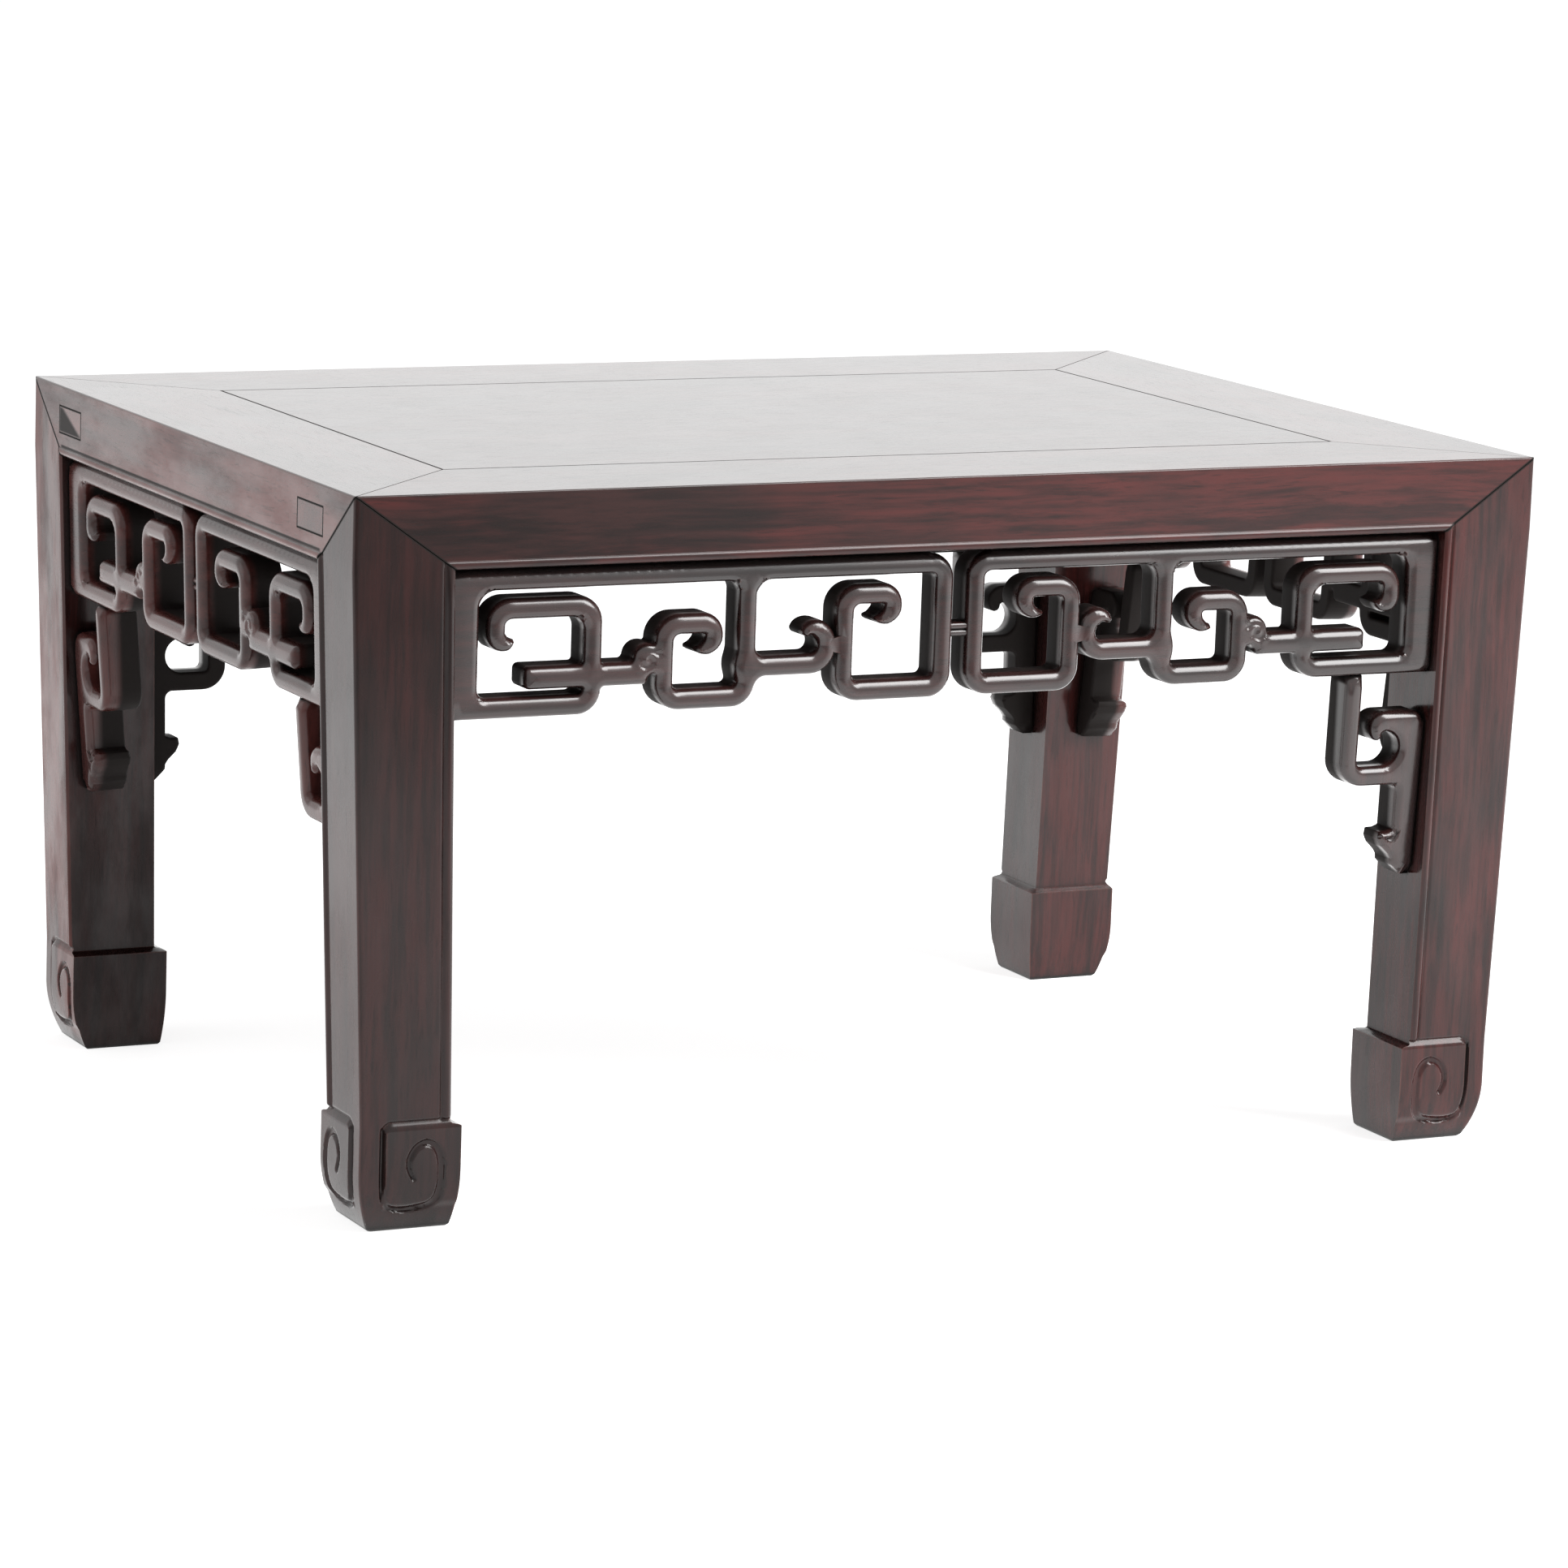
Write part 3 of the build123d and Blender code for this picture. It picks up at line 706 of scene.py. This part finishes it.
# ---------- legs
foot_width, foot_depth = ankle_width + foot_step, ankle_depth + foot_step
foot_straight = 26.0
toe_tuck, heel_tuck = 6.5, 2.0
base_round = 0.8
leg_edge_radius = 1.6
arris_start = leg_edge_radius * 0.29
leg_spacing = 0.55
leg_levels = np.concatenate((np.arange(0, 50.1, leg_spacing), np.linspace(54, rail_underside, 16),
                             np.linspace(rail_underside + 4, table_height + 1, 6)))
front_shares, end_shares = (np.linspace(0, 1, int(size / leg_spacing) + 1)
                            for size in (foot_width, foot_depth))
inner_shares = np.linspace(0, 1, 9)

plaque_inset = 10.0
plaque_bottom, plaque_top = 12.0, 46.2
plaque_proud, plaque_round = 0.95, 4.0
ledge_height = 2.6
quirk_depth, quirk_width = 0.8, 0.8
bead_groove_depth, bead_groove_width = 0.55, 0.5
scroll_depth, scroll_fade = 1.3, 1.3
scroll_widths = (0.1, 0.2, 0.4, 0.9, 1.0, 0.6, 0.2)
plaque_scroll = smooth_points((
    (9.6, 44.0), (9.4, 30), (10.0, 16.5), (12.4, 11.0), (18.8, 9.3), (25.3, 9.9), (31.4, 11.0),
    (34.8, 14.5), (35.9, 22.6), (35.5, 31.0), (33.3, 36.0), (29.0, 38.2), (24.2, 36.4), (21.2, 31.6),
    (21.2, 27.1), (23.4, 23.0)))


def tuck(height, amount):
    """How far a foot's side has curved in at a height."""
    below = np.clip(foot_straight - height, 0, foot_straight)
    radius = (foot_straight ** 2 + amount ** 2) / (2 * amount)
    return radius - np.sqrt(radius ** 2 - below ** 2)


def foot_relief(distance, height):
    """How far a foot's outer face stands out: a plaque, a groove above it and its scroll."""
    places = np.column_stack((distance, np.full(len(distance), height)))
    edge = rounded_box(places, (plaque_inset, -20), (70, plaque_top), plaque_round)
    ledge = smooth_step(-edge) * np.clip((plaque_top - height) / ledge_height, 0, 1)
    plate = plaque_proud * ledge * smooth_step((height - plaque_bottom + 3) / 4)
    above = -quirk_depth * np.exp(-((edge - 0.6) / quirk_width) ** 2) * (height > plaque_top - 4)
    carved = 1 - smooth_step(stroke(places, plaque_scroll, scroll_widths) / scroll_fade)
    return plate + np.minimum(above, -scroll_depth * carved)


def leg_bead(distance, wide, height):
    """Bead down a leg's inner edge: a rounded rib with a groove beside it."""
    middle = wide - bead_radius
    away = np.abs(distance - middle)
    rib = np.sqrt(np.maximum(bead_radius ** 2 - away ** 2, 0)) - (bead_radius - bead_proud)
    past_groove = distance - middle + bead_radius + bead_groove_width
    groove = -bead_groove_depth * np.exp(-(past_groove / bead_groove_width) ** 2)
    fade_in, fade_out = (height - foot_height - 1.2) / 1.5, (rail_underside + 2 - height) / 2
    shown = smooth_step(fade_in) * smooth_step(fade_out)
    return (np.maximum(rib, 0) * (away < bead_radius) + groove) * shown


def outer_face(low, high, shares, corner, wide, toe, height):
    """Places along an outer face at a height, and how far it lies behind its plane at each.

    The arris at the outer corner is rounded, and nothing stands out there.
    """
    places = low + (high - low) * shares
    distance = places - corner
    stand = leg_bead(distance, wide, height)
    if height < plaque_top + 4:
        stand = stand + foot_relief(distance, height)
    stand = stand * smooth_step((distance - toe - 1.5) / 2)
    behind = rounding(leg_edge_radius, places - low) - stand
    at_corner = places - low <= arris_start
    return np.where(at_corner, low + arris_start, places), np.where(at_corner, arris_start, behind)


def leg_ring(height):
    """Points round the front left leg at a height, from its outer corner along the front."""
    share = np.clip((rail_underside - height) / leg_run, 0, 1)
    step = foot_step * (1 - smooth_step((height - foot_height + 0.9) / 1.3))
    wide = leg_width + (ankle_width - leg_width) * share + step
    deep = leg_depth + (ankle_depth - leg_depth) * share + step
    base = base_round * (1 - smooth_step(height))
    toe, heel = tuck(height, toe_tuck), tuck(height, heel_tuck)
    corner_x, corner_y = -half_length + lean * share, -half_depth
    x0, y0 = corner_x + toe + base, corner_y + toe + base
    x1, y1 = corner_x + wide - heel - base, corner_y + deep - heel - base
    xs, behind_front = outer_face(x0, x1, front_shares, corner_x, wide, toe, height)
    ys, behind_end = outer_face(y0, y1, end_shares, corner_y, deep, toe, height)
    front, end = np.column_stack((xs, y0 + behind_front)), np.column_stack((x0 + behind_end, ys))
    same = np.ones(len(inner_shares))
    inner_side = np.column_stack((x1 * same, front[-1, 1] + (y1 - front[-1, 1]) * inner_shares))
    inner_back = np.column_stack((x1 + (end[-1, 0] - x1) * inner_shares, y1 * same))
    ring = np.concatenate((front, inner_side[1:], inner_back[1:], end[-2:0:-1]))
    return np.column_stack((ring, np.full(len(ring), height)))


def cut_mitres(work, flip_x, flip_y):
    """Cut a leg's top along its mitres with both rails."""
    top_corner = Vector((-half_length * flip_x, -half_depth * flip_y, table_height)) * MM
    for slope in ((rail_height * flip_x, 0, leg_width), (0, rail_height * flip_y, leg_depth)):
        normal = Vector(slope).normalized()
        cut = bmesh.ops.bisect_plane(work, geom=work.verts[:] + work.edges[:] + work.faces[:],
                                     plane_co=top_corner - normal * mitre_gap / 2 * MM,
                                     plane_no=normal, clear_outer=True)
        rim = [item for item in cut["geom_cut"] if isinstance(item, bmesh.types.BMEdge)]
        bmesh.ops.holes_fill(work, edges=rim, sides=0)


def make_leg(depth_side, width_side, material):
    rings = [leg_ring(height) for height in leg_levels]
    count, top = len(rings[0]), len(rings) - 1
    faces = [[level * count + k, level * count + (k + 1) % count,
              (level + 1) * count + (k + 1) % count, (level + 1) * count + k]
             for level in range(top) for k in range(count)]
    faces += [list(range(count))[::-1], [top * count + k for k in range(count)]]
    flip_x, flip_y = (1 if width_side == "left" else -1), (1 if depth_side == "front" else -1)
    name = f"{depth_side}_{width_side}_leg"
    mesh, work = start_mesh(name, np.concatenate(rings) * (flip_x, flip_y, 1), faces, merge=0.004)
    bmesh.ops.recalc_face_normals(work, faces=work.faces)
    cut_mitres(work, flip_x, flip_y)
    leg = add_object(name + "_carving", finish_mesh(mesh, work, sharp_angle=40), material)
    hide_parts(name)


# ---------- shader nodes
class Nodes:
    """Short way to make and join the shader nodes of a material or the world."""

    def __init__(self, owner):
        owner.use_nodes = True
        self.owner, self.tree = owner, owner.node_tree

    def add(self, kind, settings=None, **inputs):
        """A node with some settings and inputs, whose names here have _ for a space."""
        node = self.tree.nodes.new("ShaderNode" + kind)
        for key, value in (settings or {}).items():
            setattr(node, key, value)
        self.set_all(node, **inputs)
        return node

    def set_all(self, node, **inputs):
        for key, value in inputs.items():
            self.set(node, key.replace("_", " "), value)

    def set(self, node, key, value):
        """Join another node's output to an input, or give the input a value of its own."""
        socket = node.inputs[key]
        if isinstance(value, bpy.types.NodeSocket):
            self.tree.links.new(value, socket)
        else:
            socket.default_value = value

    def worked_out(self, kind, operation, *values):
        """The node that works something out from some values."""
        node = self.add(kind, {"operation": operation})
        for index, value in enumerate(values):
            self.set(node, index, value)
        return node

    def math(self, operation, first, *others):
        """A number worked out from another, or from several in turn."""
        if not others:
            return self.worked_out("Math", operation, first).outputs[0]
        for other in others:
            first = self.worked_out("Math", operation, first, other).outputs[0]
        return first

    plus = partialmethod(math, "ADD")
    minus = partialmethod(math, "SUBTRACT")
    times = partialmethod(math, "MULTIPLY")
    least = partialmethod(math, "MINIMUM")
    most = partialmethod(math, "MAXIMUM")
    size = partialmethod(math, "ABSOLUTE")

    def rest(self, share):
        """What a share leaves of 1."""
        return self.minus(1.0, share)

    def shares(self, one, one_share, other, other_share):
        """Two values added up, each by its own share."""
        return self.plus(self.times(one, one_share), self.times(other, other_share))

    def ramp(self, value, low, high):
        """A number between two levels, each given as (value, level)."""
        return self.add("MapRange", {"interpolation_type": "SMOOTHSTEP"}, Value=value, From_Min=low[0],
                        From_Max=high[0], To_Min=low[1], To_Max=high[1]).outputs["Result"]

    def mix(self, share, a, b, kind="RGBA"):
        """A share of the way from one colour to another, or one number to another with FLOAT."""
        first, out = {"RGBA": (6, 2), "FLOAT": (2, 0)}[kind]
        node = self.add("Mix", {"data_type": kind})
        for key, value in ((0, share), (first, a), (first + 1, b)):
            self.set(node, key, value)
        return node.outputs[out]

    def noise(self, place, scale, detail, roughness=0.5, output="Fac"):
        return self.add("TexNoise", Vector=place, Scale=scale, Detail=detail,
                        Roughness=roughness).outputs[output]

    def dot(self, a, b):
        return self.worked_out("VectorMath", "DOT_PRODUCT", a, b).outputs["Value"]

    def place(self):
        """The place on the surface, in metres in the table's frame."""
        return self.add("TexCoord").outputs["Object"]

    def normal(self):
        return self.add("NewGeometry").outputs["Normal"]

    def parts(self, vector):
        """The three parts of a vector."""
        return self.add("SeparateXYZ", Vector=vector).outputs[:]


# ---------- where the hardwood changes
def place_on_table(n):
    """How far a place lies from the table's middle along its length and depth, and its height."""
    x, y, z = n.parts(n.place())
    return n.size(x), n.size(y), z


def step_up(n, value, low, high):
    """0 below one length in millimetres and 1 above another."""
    return n.ramp(value, (low * MM, 0.0), (high * MM, 1.0))


def thin_line(n, away, half, fade, level=1.0):
    """A dark line where a distance is 0, by its half width and where it has faded, in millimetres."""
    return n.ramp(away, (half * MM, level), (fade * MM, 0.0))


def polished_depth(n, side, reach):
    """1 in the polished front of openwork and 0 in its deeper, sawn walls."""
    surface, deeper = on_face(side, ((0, 0, recess(side)), (0, 0, recess(side) + 1)))
    normal = deeper - surface
    depth = n.minus(n.dot(n.place(), normal / MM), float(surface @ normal))
    return n.ramp(depth, (reach[0], 1.0), (reach[1], 0.0))


def on_top(n):
    """1 on the table's top."""
    return step_up(n, place_on_table(n)[2], table_height - 1.2, table_height - 0.3)


def face_mitres(n):
    """1 in the dark mitre between rail and leg, on the table's four upright sides."""
    x, y, z = place_on_table(n)
    down = n.minus(table_height * MM, z)
    both = []
    for here, end, wide, there, face in ((x, half_length, leg_width, y, half_depth),
                                         (y, half_depth, leg_depth, x, half_length)):
        slant = hypot(wide, rail_height)
        inward = n.times(n.minus(end * MM, here), rail_height / slant)
        away = n.size(n.minus(inward, n.times(down, wide / slant)))
        both.append(n.times(thin_line(n, away, 0.3, 0.95), step_up(n, there, face - 1.6, face - 0.8)))
    return n.times(n.most(*both), step_up(n, z, rail_underside - 1, rail_underside))


def quirk_line(n):
    """1 in a dark line along the upper side of the end rails' beads."""
    x, y, z = place_on_table(n)
    away = n.size(n.minus(z, (rail_underside + 2 * bead_radius + 0.3) * MM))
    inner = half_depth - leg_depth
    between = n.ramp(y, (inner * MM, 1.0), ((inner + 3) * MM, 0.0))
    return n.times(thin_line(n, away, 0.3, 0.9, level=0.85), between,
                   step_up(n, x, half_length - 1.6, half_length - 0.8))


def top_joints(n, x, y):
    """1 in the joints round the panel and along the frame's mitres."""
    past_x = n.minus(x, (half_length - rail_width) * MM)
    past_y = n.minus(y, (half_depth - rail_width) * MM)
    past = n.most(past_x, past_y)
    mitre = n.most(n.times(n.size(n.minus(past_x, past_y)), 1.6), n.times(past, -1.0))
    return thin_line(n, n.least(n.size(past), mitre), 0.35, 0.9)


def sunk_corner_shade(n, height):
    """1 in the sunk lower corner of the back left tenon, where its shade is painted into the colour."""
    x, y, _ = n.parts(n.place())
    slanting = n.times(n.minus(y, tenon_y * MM), 0.45)
    elsewhere = n.most(n.ramp(x, (-0.1, 0.0), (0.1, 1.0)), n.ramp(y, (-0.01, 1.0), (0.01, 0.0)))
    slanting = n.plus(n.minus(slanting, elsewhere), n.minus(tenon_z * MM, height))
    return n.ramp(slanting, (-2.5 * MM, 0.0), (0.5 * MM, 0.9))


def joint_lines(n):
    """1 in the dark joints of the top and round the through tenons, and in the painted shade of the
    back left tenon's sunk corner.
    """
    x, y, z = place_on_table(n)
    across = n.minus(n.size(n.minus(y, tenon_y * MM)), tenon_half_width * MM)
    upward = n.minus(n.size(n.minus(z, tenon_z * MM)), tenon_half_height * MM)
    outside = n.most(across, upward)
    # Painted shade: the back left tenon's sunk lower corner is darkened.
    sunk_shade = n.times(n.ramp(outside, (-1.2 * MM, 1.0), (0.0, 0.0)), sunk_corner_shade(n, z))
    tenon = n.times(n.most(thin_line(n, n.size(outside), 0.2, 0.7), sunk_shade),
                    step_up(n, x, half_length - 2, half_length - 1))
    return n.most(n.times(top_joints(n, x, y), on_top(n)), tenon)


def faded_places(n, wood, only_ends):
    """1 where the light has faded the wood, in soft streaks, mostly on the table's ends."""
    streaky = n.shares(n.noise(wood.wide, 24.0, 3.0), 0.6, wood.bands, 0.4)
    share = n.ramp(streaky, (0.40, 0.25), (0.58, 1.0))
    if only_ends:
        outward = n.ramp(n.size(n.parts(n.normal())[0]), (0.6, 0.0), (0.95, 1.0))
        at_end = step_up(n, place_on_table(n)[0], half_length - 14, half_length - 11)
        share = n.times(share, n.times(outward, at_end))
    return share


# ---------- hardwood
DARK = (0.0135, 0.0075, 0.0070, 1)
BROWN = (0.038, 0.0170, 0.0155, 1)
RED = (0.112, 0.024, 0.022, 1)
WORN = (0.150, 0.060, 0.050, 1)
# Near-black colour of the pores and dark joints, and of the painted shade in hollows and in the tenon's
# sunk corner.
PORE_AND_SHADE = (0.0025, 0.0018, 0.0016, 1)
BARE = (0.0165, 0.0130, 0.0120, 1)
FADED = (0.26, 0.075, 0.065, 1)
polished, sawn = 0.22, 0.62
wood_ior = 1.25
grain_stretch = 0.07
grain_waver = 0.008
wear_radius = 1.6


def grain_noises(n, grain, seed):
    """The wood's noises, drawn out along its grain from narrow pores to wide patches."""
    place = n.place()
    stretch = [grain_stretch if axis == grain else 1.0 for axis in "xyz"]
    drawn = n.add("Mapping", Vector=place, Scale=stretch,
                  Location=(seed * 1.37, seed * 0.61, seed * 2.03)).outputs[0]
    waver = n.noise(place, 9.0, 2.0, output="Color")
    bent = n.worked_out("VectorMath", "MULTIPLY_ADD", waver, (grain_waver,) * 3, drawn).outputs[0]
    wide = n.add("Mapping", Vector=place, Scale=[0.3 + 0.7 * share for share in stretch],
                 Location=(seed * 3.1, seed, 0)).outputs[0]
    fine = n.noise(bent, 1100.0, 2.0, 0.6)
    return SimpleNamespace(
        place=place, wide=wide, fine=fine, bands=n.noise(bent, 75.0, 3.0, 0.55),
        streaks=n.noise(bent, 300.0, 5.0, 0.65), patches=n.noise(wide, 16.0, 4.0, 0.6),
        pores=n.ramp(fine, (0.32, 1.0), (0.44, 0.0)))


def grain_colour(n, wood, red, brown, faded, on_rails, only_ends):
    """Dark wood with brown streaks, red patches, faded places and dark pores."""
    streaky = n.shares(wood.bands, 0.5, wood.streaks, 0.5)
    colour = n.mix(n.ramp(streaky, (0.36, 0.0), (0.62, brown)), DARK, BROWN)
    finer = n.shares(wood.bands, 0.4, wood.streaks, 0.6)
    reddish = n.times(n.ramp(wood.patches, (0.38, 0.15), (0.56, 1.0)),
                      n.ramp(finer, (0.34, 0.2), (0.64, 1.0)), red)
    if on_rails:
        reddish = n.times(reddish, n.rest(n.times(on_top(n), 0.6)))
    colour = n.mix(reddish, colour, RED)
    if faded:
        colour = n.mix(n.times(faded_places(n, wood, only_ends), faded), colour, FADED)
    return n.mix(n.times(wood.pores, 0.4), colour, PORE_AND_SHADE)


def worn_edges(n, wood, worn):
    """1 on edges that are rubbed to a lighter red brown."""
    soft = n.add("Bevel", {"samples": 6}, Radius=wear_radius * MM).outputs[0]
    edge = n.ramp(n.dot(n.normal(), soft), (0.80, 1.0), (0.985, 0.0))
    rubbed = n.ramp(n.noise(wood.place, 70.0, 3.0), (0.36, 0.1), (0.62, 1.0))
    return n.times(edge, rubbed, worn)


def painted_hollow_shade(n, reach, deepest, shallowest):
    """1 in hollows of up to a reach in millimetres, where shade is painted into the colour."""
    open_share = n.add("AmbientOcclusion", {"samples": 6}, Distance=reach * MM).outputs["AO"]
    return n.ramp(open_share, deepest, shallowest)


def hardwood(name, grain, seed, red=0.5, brown=1.0, worn=0.6, coat=1.30, coat_rough=0.14, side=None,
             reach=(3.2, 7.5), lines=(), dull=0.0, faded=0.0, mottle=1.0, waviness=0.3):
    """Dark, oiled rosewood with its grain along one axis: streaks, pores, red patches, wear, and
    painted shade in its hollows and crevices.

    A side is given for openwork, which is polished only to some depth. Lines are dark joints, a dark
    line above the end rails' beads, and painted shade in the back left tenon's sunk corner.
    """
    n = Nodes(bpy.data.materials.new(name))
    shader = n.tree.nodes["Principled BSDF"]
    wood = grain_noises(n, grain, seed)
    colour = grain_colour(n, wood, red, brown, faded, joint_lines in lines, not side)
    colour = n.mix(worn_edges(n, wood, worn), colour, WORN)
    # Painted shade: the colour darkens to near black in hollows up to 9 mm deep, and more in crevices
    # up to 2.5 mm.
    colour = n.mix(painted_hollow_shade(n, 9, (0.25, 0.85), (0.8, 0.0)), colour, PORE_AND_SHADE)
    crevice_shade = painted_hollow_shade(n, 2.5, (0.45, 1.0), (0.90, 0.0))
    colour = n.mix(crevice_shade, colour, PORE_AND_SHADE)
    rough = n.ramp(n.noise(wood.place, 34.0, 4.0), (0.3, polished - 0.04 * mottle),
                   (0.7, polished + 0.07 * mottle))
    rough = n.plus(rough, n.times(wood.pores, 0.10))
    polish = polished_depth(n, side, reach) if side else None
    if lines:
        # Dark joints and lines, with the painted shade of the back left tenon's sunk corner.
        dark_lines_and_shade = n.most(0.0, *(line(n) for line in lines))
        colour = n.mix(dark_lines_and_shade, colour, PORE_AND_SHADE)
        polish = n.rest(dark_lines_and_shade)
    if polish:
        # Crevices, where shade is painted, also lose polish: less coat, rougher, and the sawn walls'
        # colour.
        polish = n.times(polish, n.rest(n.times(crevice_shade, 0.6)))
        rough = n.mix(polish, sawn, rough, "FLOAT")
        colour = n.mix(polish, BARE, colour)
    if polish and dull:
        cloudy = n.ramp(n.noise(wood.wide, 30.0, 5.0, 0.65), (0.38, 0.0), (0.62, dull))
        polish = n.times(polish, n.rest(n.times(cloudy, n.rest(on_top(n)))))
    waves = n.noise(wood.place, 26.0, 1.5)
    bump = n.add("Bump", Strength=waviness, Distance=0.35 * MM,
                 Height=n.shares(wood.fine, 0.06, waves, 0.9)).outputs[0]
    n.set_all(shader, Coat_Weight=polish or 1.0, Base_Color=colour, Roughness=rough, Normal=bump,
              IOR=wood_ior, Coat_Roughness=coat_rough, Coat_IOR=coat)
    return n.owner


# ---------- wood on every piece
for seed, (node, piece) in enumerate(sorted(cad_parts.items())):
    rail, at_end = "rail" in node, node in ("left_rail", "right_rail")
    grain = "y" if at_end or "batten" in node else "x" if rail or node == "top_panel" else "z"
    lines = [joint_lines] * (rail or node == "top_panel") + [face_mitres] * rail + [quirk_line] * at_end
    piece.data.materials.clear()
    piece.data.materials.append(hardwood(
        f"{node}_wood", grain, seed, red=1.0 if rail else 0.4, coat=1.33 if at_end else 1.30,
        lines=lines, dull=0.7 if at_end else 0.0, faded=0.9 if rail else 0.0, mottle=0.3,
        waviness=0.06))

for seed, side in enumerate(INWARDS):
    grain, coat, faded = ("x", 1.60, 0.0) if is_long(side) else ("y", 1.34, 0.45)
    looks = dict(red=0.25, brown=0.6, worn=0.7, side=side, coat=coat, coat_rough=0.22, faded=faded,
                 waviness=0.15)
    make_apron(side, hardwood(f"{side}_apron_carved_wood", grain, 31 + seed, **looks))
    bracket_wood = hardwood(f"{side}_bracket_carved_wood", "z", 41 + seed, reach=(6.5, 11.0), **looks)
    for hand in (-1, 1):
        if (side, hand) != ("front", -1):
            make_bracket(side, hand, bracket_wood)

LEG_LOOKS = {("front", "left"): dict(red=0.25, brown=0.4, coat=1.285, dull=0.2, faded=0.15),
             ("front", "right"): dict(red=0.75, brown=1.0, coat=1.35, dull=0.2, faded=0.3),
             ("back", "left"): dict(red=0.45, brown=0.5, coat=1.27, dull=0.9, faded=1.0),
             ("back", "right"): dict(red=0.75, brown=1.0, coat=1.36, dull=0.2, faded=0.3)}
for seed, ((depth_side, width_side), looks) in enumerate(LEG_LOOKS.items()):
    make_leg(depth_side, width_side, hardwood(
        f"{depth_side}_{width_side}_carved_leg_wood", "z", 51 + seed, worn=0.9,
        lines=[face_mitres], **looks))


# ---------- studio
world_level = 0.25
floor_glow = 0.8
floor_size = 40
PALE, BLACK, WHITE = (0.9, 0.9, 0.9, 1), (0.0, 0.0, 0.0, 1), (1, 1, 1, 1)


def add_light(name, place, aim, size, power):
    light = bpy.data.lights.new(name, "AREA")
    light.shape = "RECTANGLE"
    light.size, light.size_y = size
    light.energy = power
    lamp = bpy.data.objects.new(name, light)
    lamp.location = place
    lamp.rotation_euler = (Vector(aim) - Vector(place)).to_track_quat("-Z", "Y").to_euler()
    scene.collection.objects.link(lamp)


def background_rays(n):
    """1 for camera, glossy and transmission rays, which see the pale background."""
    path = n.add("LightPath").outputs
    return n.most(*(path[f"Is {kind} Ray"] for kind in ("Camera", "Glossy", "Transmission")))


def make_world():
    """White to the rays that see the background, and a plain level of light to the rest."""
    n = Nodes(bpy.data.worlds.new("studio"))
    background = n.tree.nodes["Background"]
    strength = n.ramp(background_rays(n), (0.0, world_level), (1.0, 1.0))
    n.set_all(background, Color=WHITE, Strength=strength)
    scene.world = n.owner


def make_floor():
    """Matt pale floor that glows white, but is dark in reflections far in front on the left."""
    n = Nodes(bpy.data.materials.new("studio_floor"))
    matt = n.tree.nodes["Principled BSDF"]
    n.set_all(matt, Roughness=0.9, Specular_IOR_Level=0.0)
    x, y, _ = n.parts(n.place())
    unseen = n.rest(n.add("LightPath").outputs["Is Camera Ray"])
    dark = n.times(n.ramp(y, (-1.6, 0.75), (-0.8, 0.0)), n.ramp(x, (0.3, 1.0), (1.1, 0.0)), unseen)
    n.set(matt, "Base Color", n.mix(n.rest(dark), BLACK, PALE))
    glow = n.add("Emission", Strength=n.times(background_rays(n), floor_glow, n.rest(dark)))
    both = n.add("AddShader")
    n.set(both, 0, matt.outputs[0])
    n.set(both, 1, glow.outputs[0])
    n.set(n.tree.nodes["Material Output"], "Surface", both.outputs[0])
    bpy.ops.mesh.primitive_plane_add(size=floor_size, location=(0, 0, 0))
    floor = bpy.context.active_object
    floor.name = "studio_floor"
    floor.data.materials.append(n.owner)


make_world()
make_floor()
add_light("key_softbox", (1.15, -1.15, 1.7), (0, 0, 0.2), (1.0, 1.9), 60)
add_light("back_softbox", (0.9, 2.6, 1.3), (0, 0, 0.2), (4.0, 2.2), 3)
add_light("left_softbox", (-2.4, 0.6, 1.0), (0, 0, 0.15), (1.8, 1.6), 8)

# ---------- camera
camera_place = (-1.2075943, -2.47686723, 0.66084176)
camera_yaw, camera_pitch, camera_roll = 26.2238, 10.72647, 1.9911
camera_data = bpy.data.cameras.new("camera")
camera_data.sensor_width = 36.0
camera_data.lens = 143.36186
camera = bpy.data.objects.new("camera", camera_data)
camera_frame = Matrix.Translation(camera_place)
for angle, axis in ((-camera_yaw, "Z"), (90 - camera_pitch, "X"), (camera_roll, "Z")):
    camera_frame @= Matrix.Rotation(radians(angle), 4, axis)
camera.matrix_world = camera_frame
scene.collection.objects.link(camera)
bpy.context.scene.camera = camera
bpy.context.scene.view_settings.view_transform = "Standard"
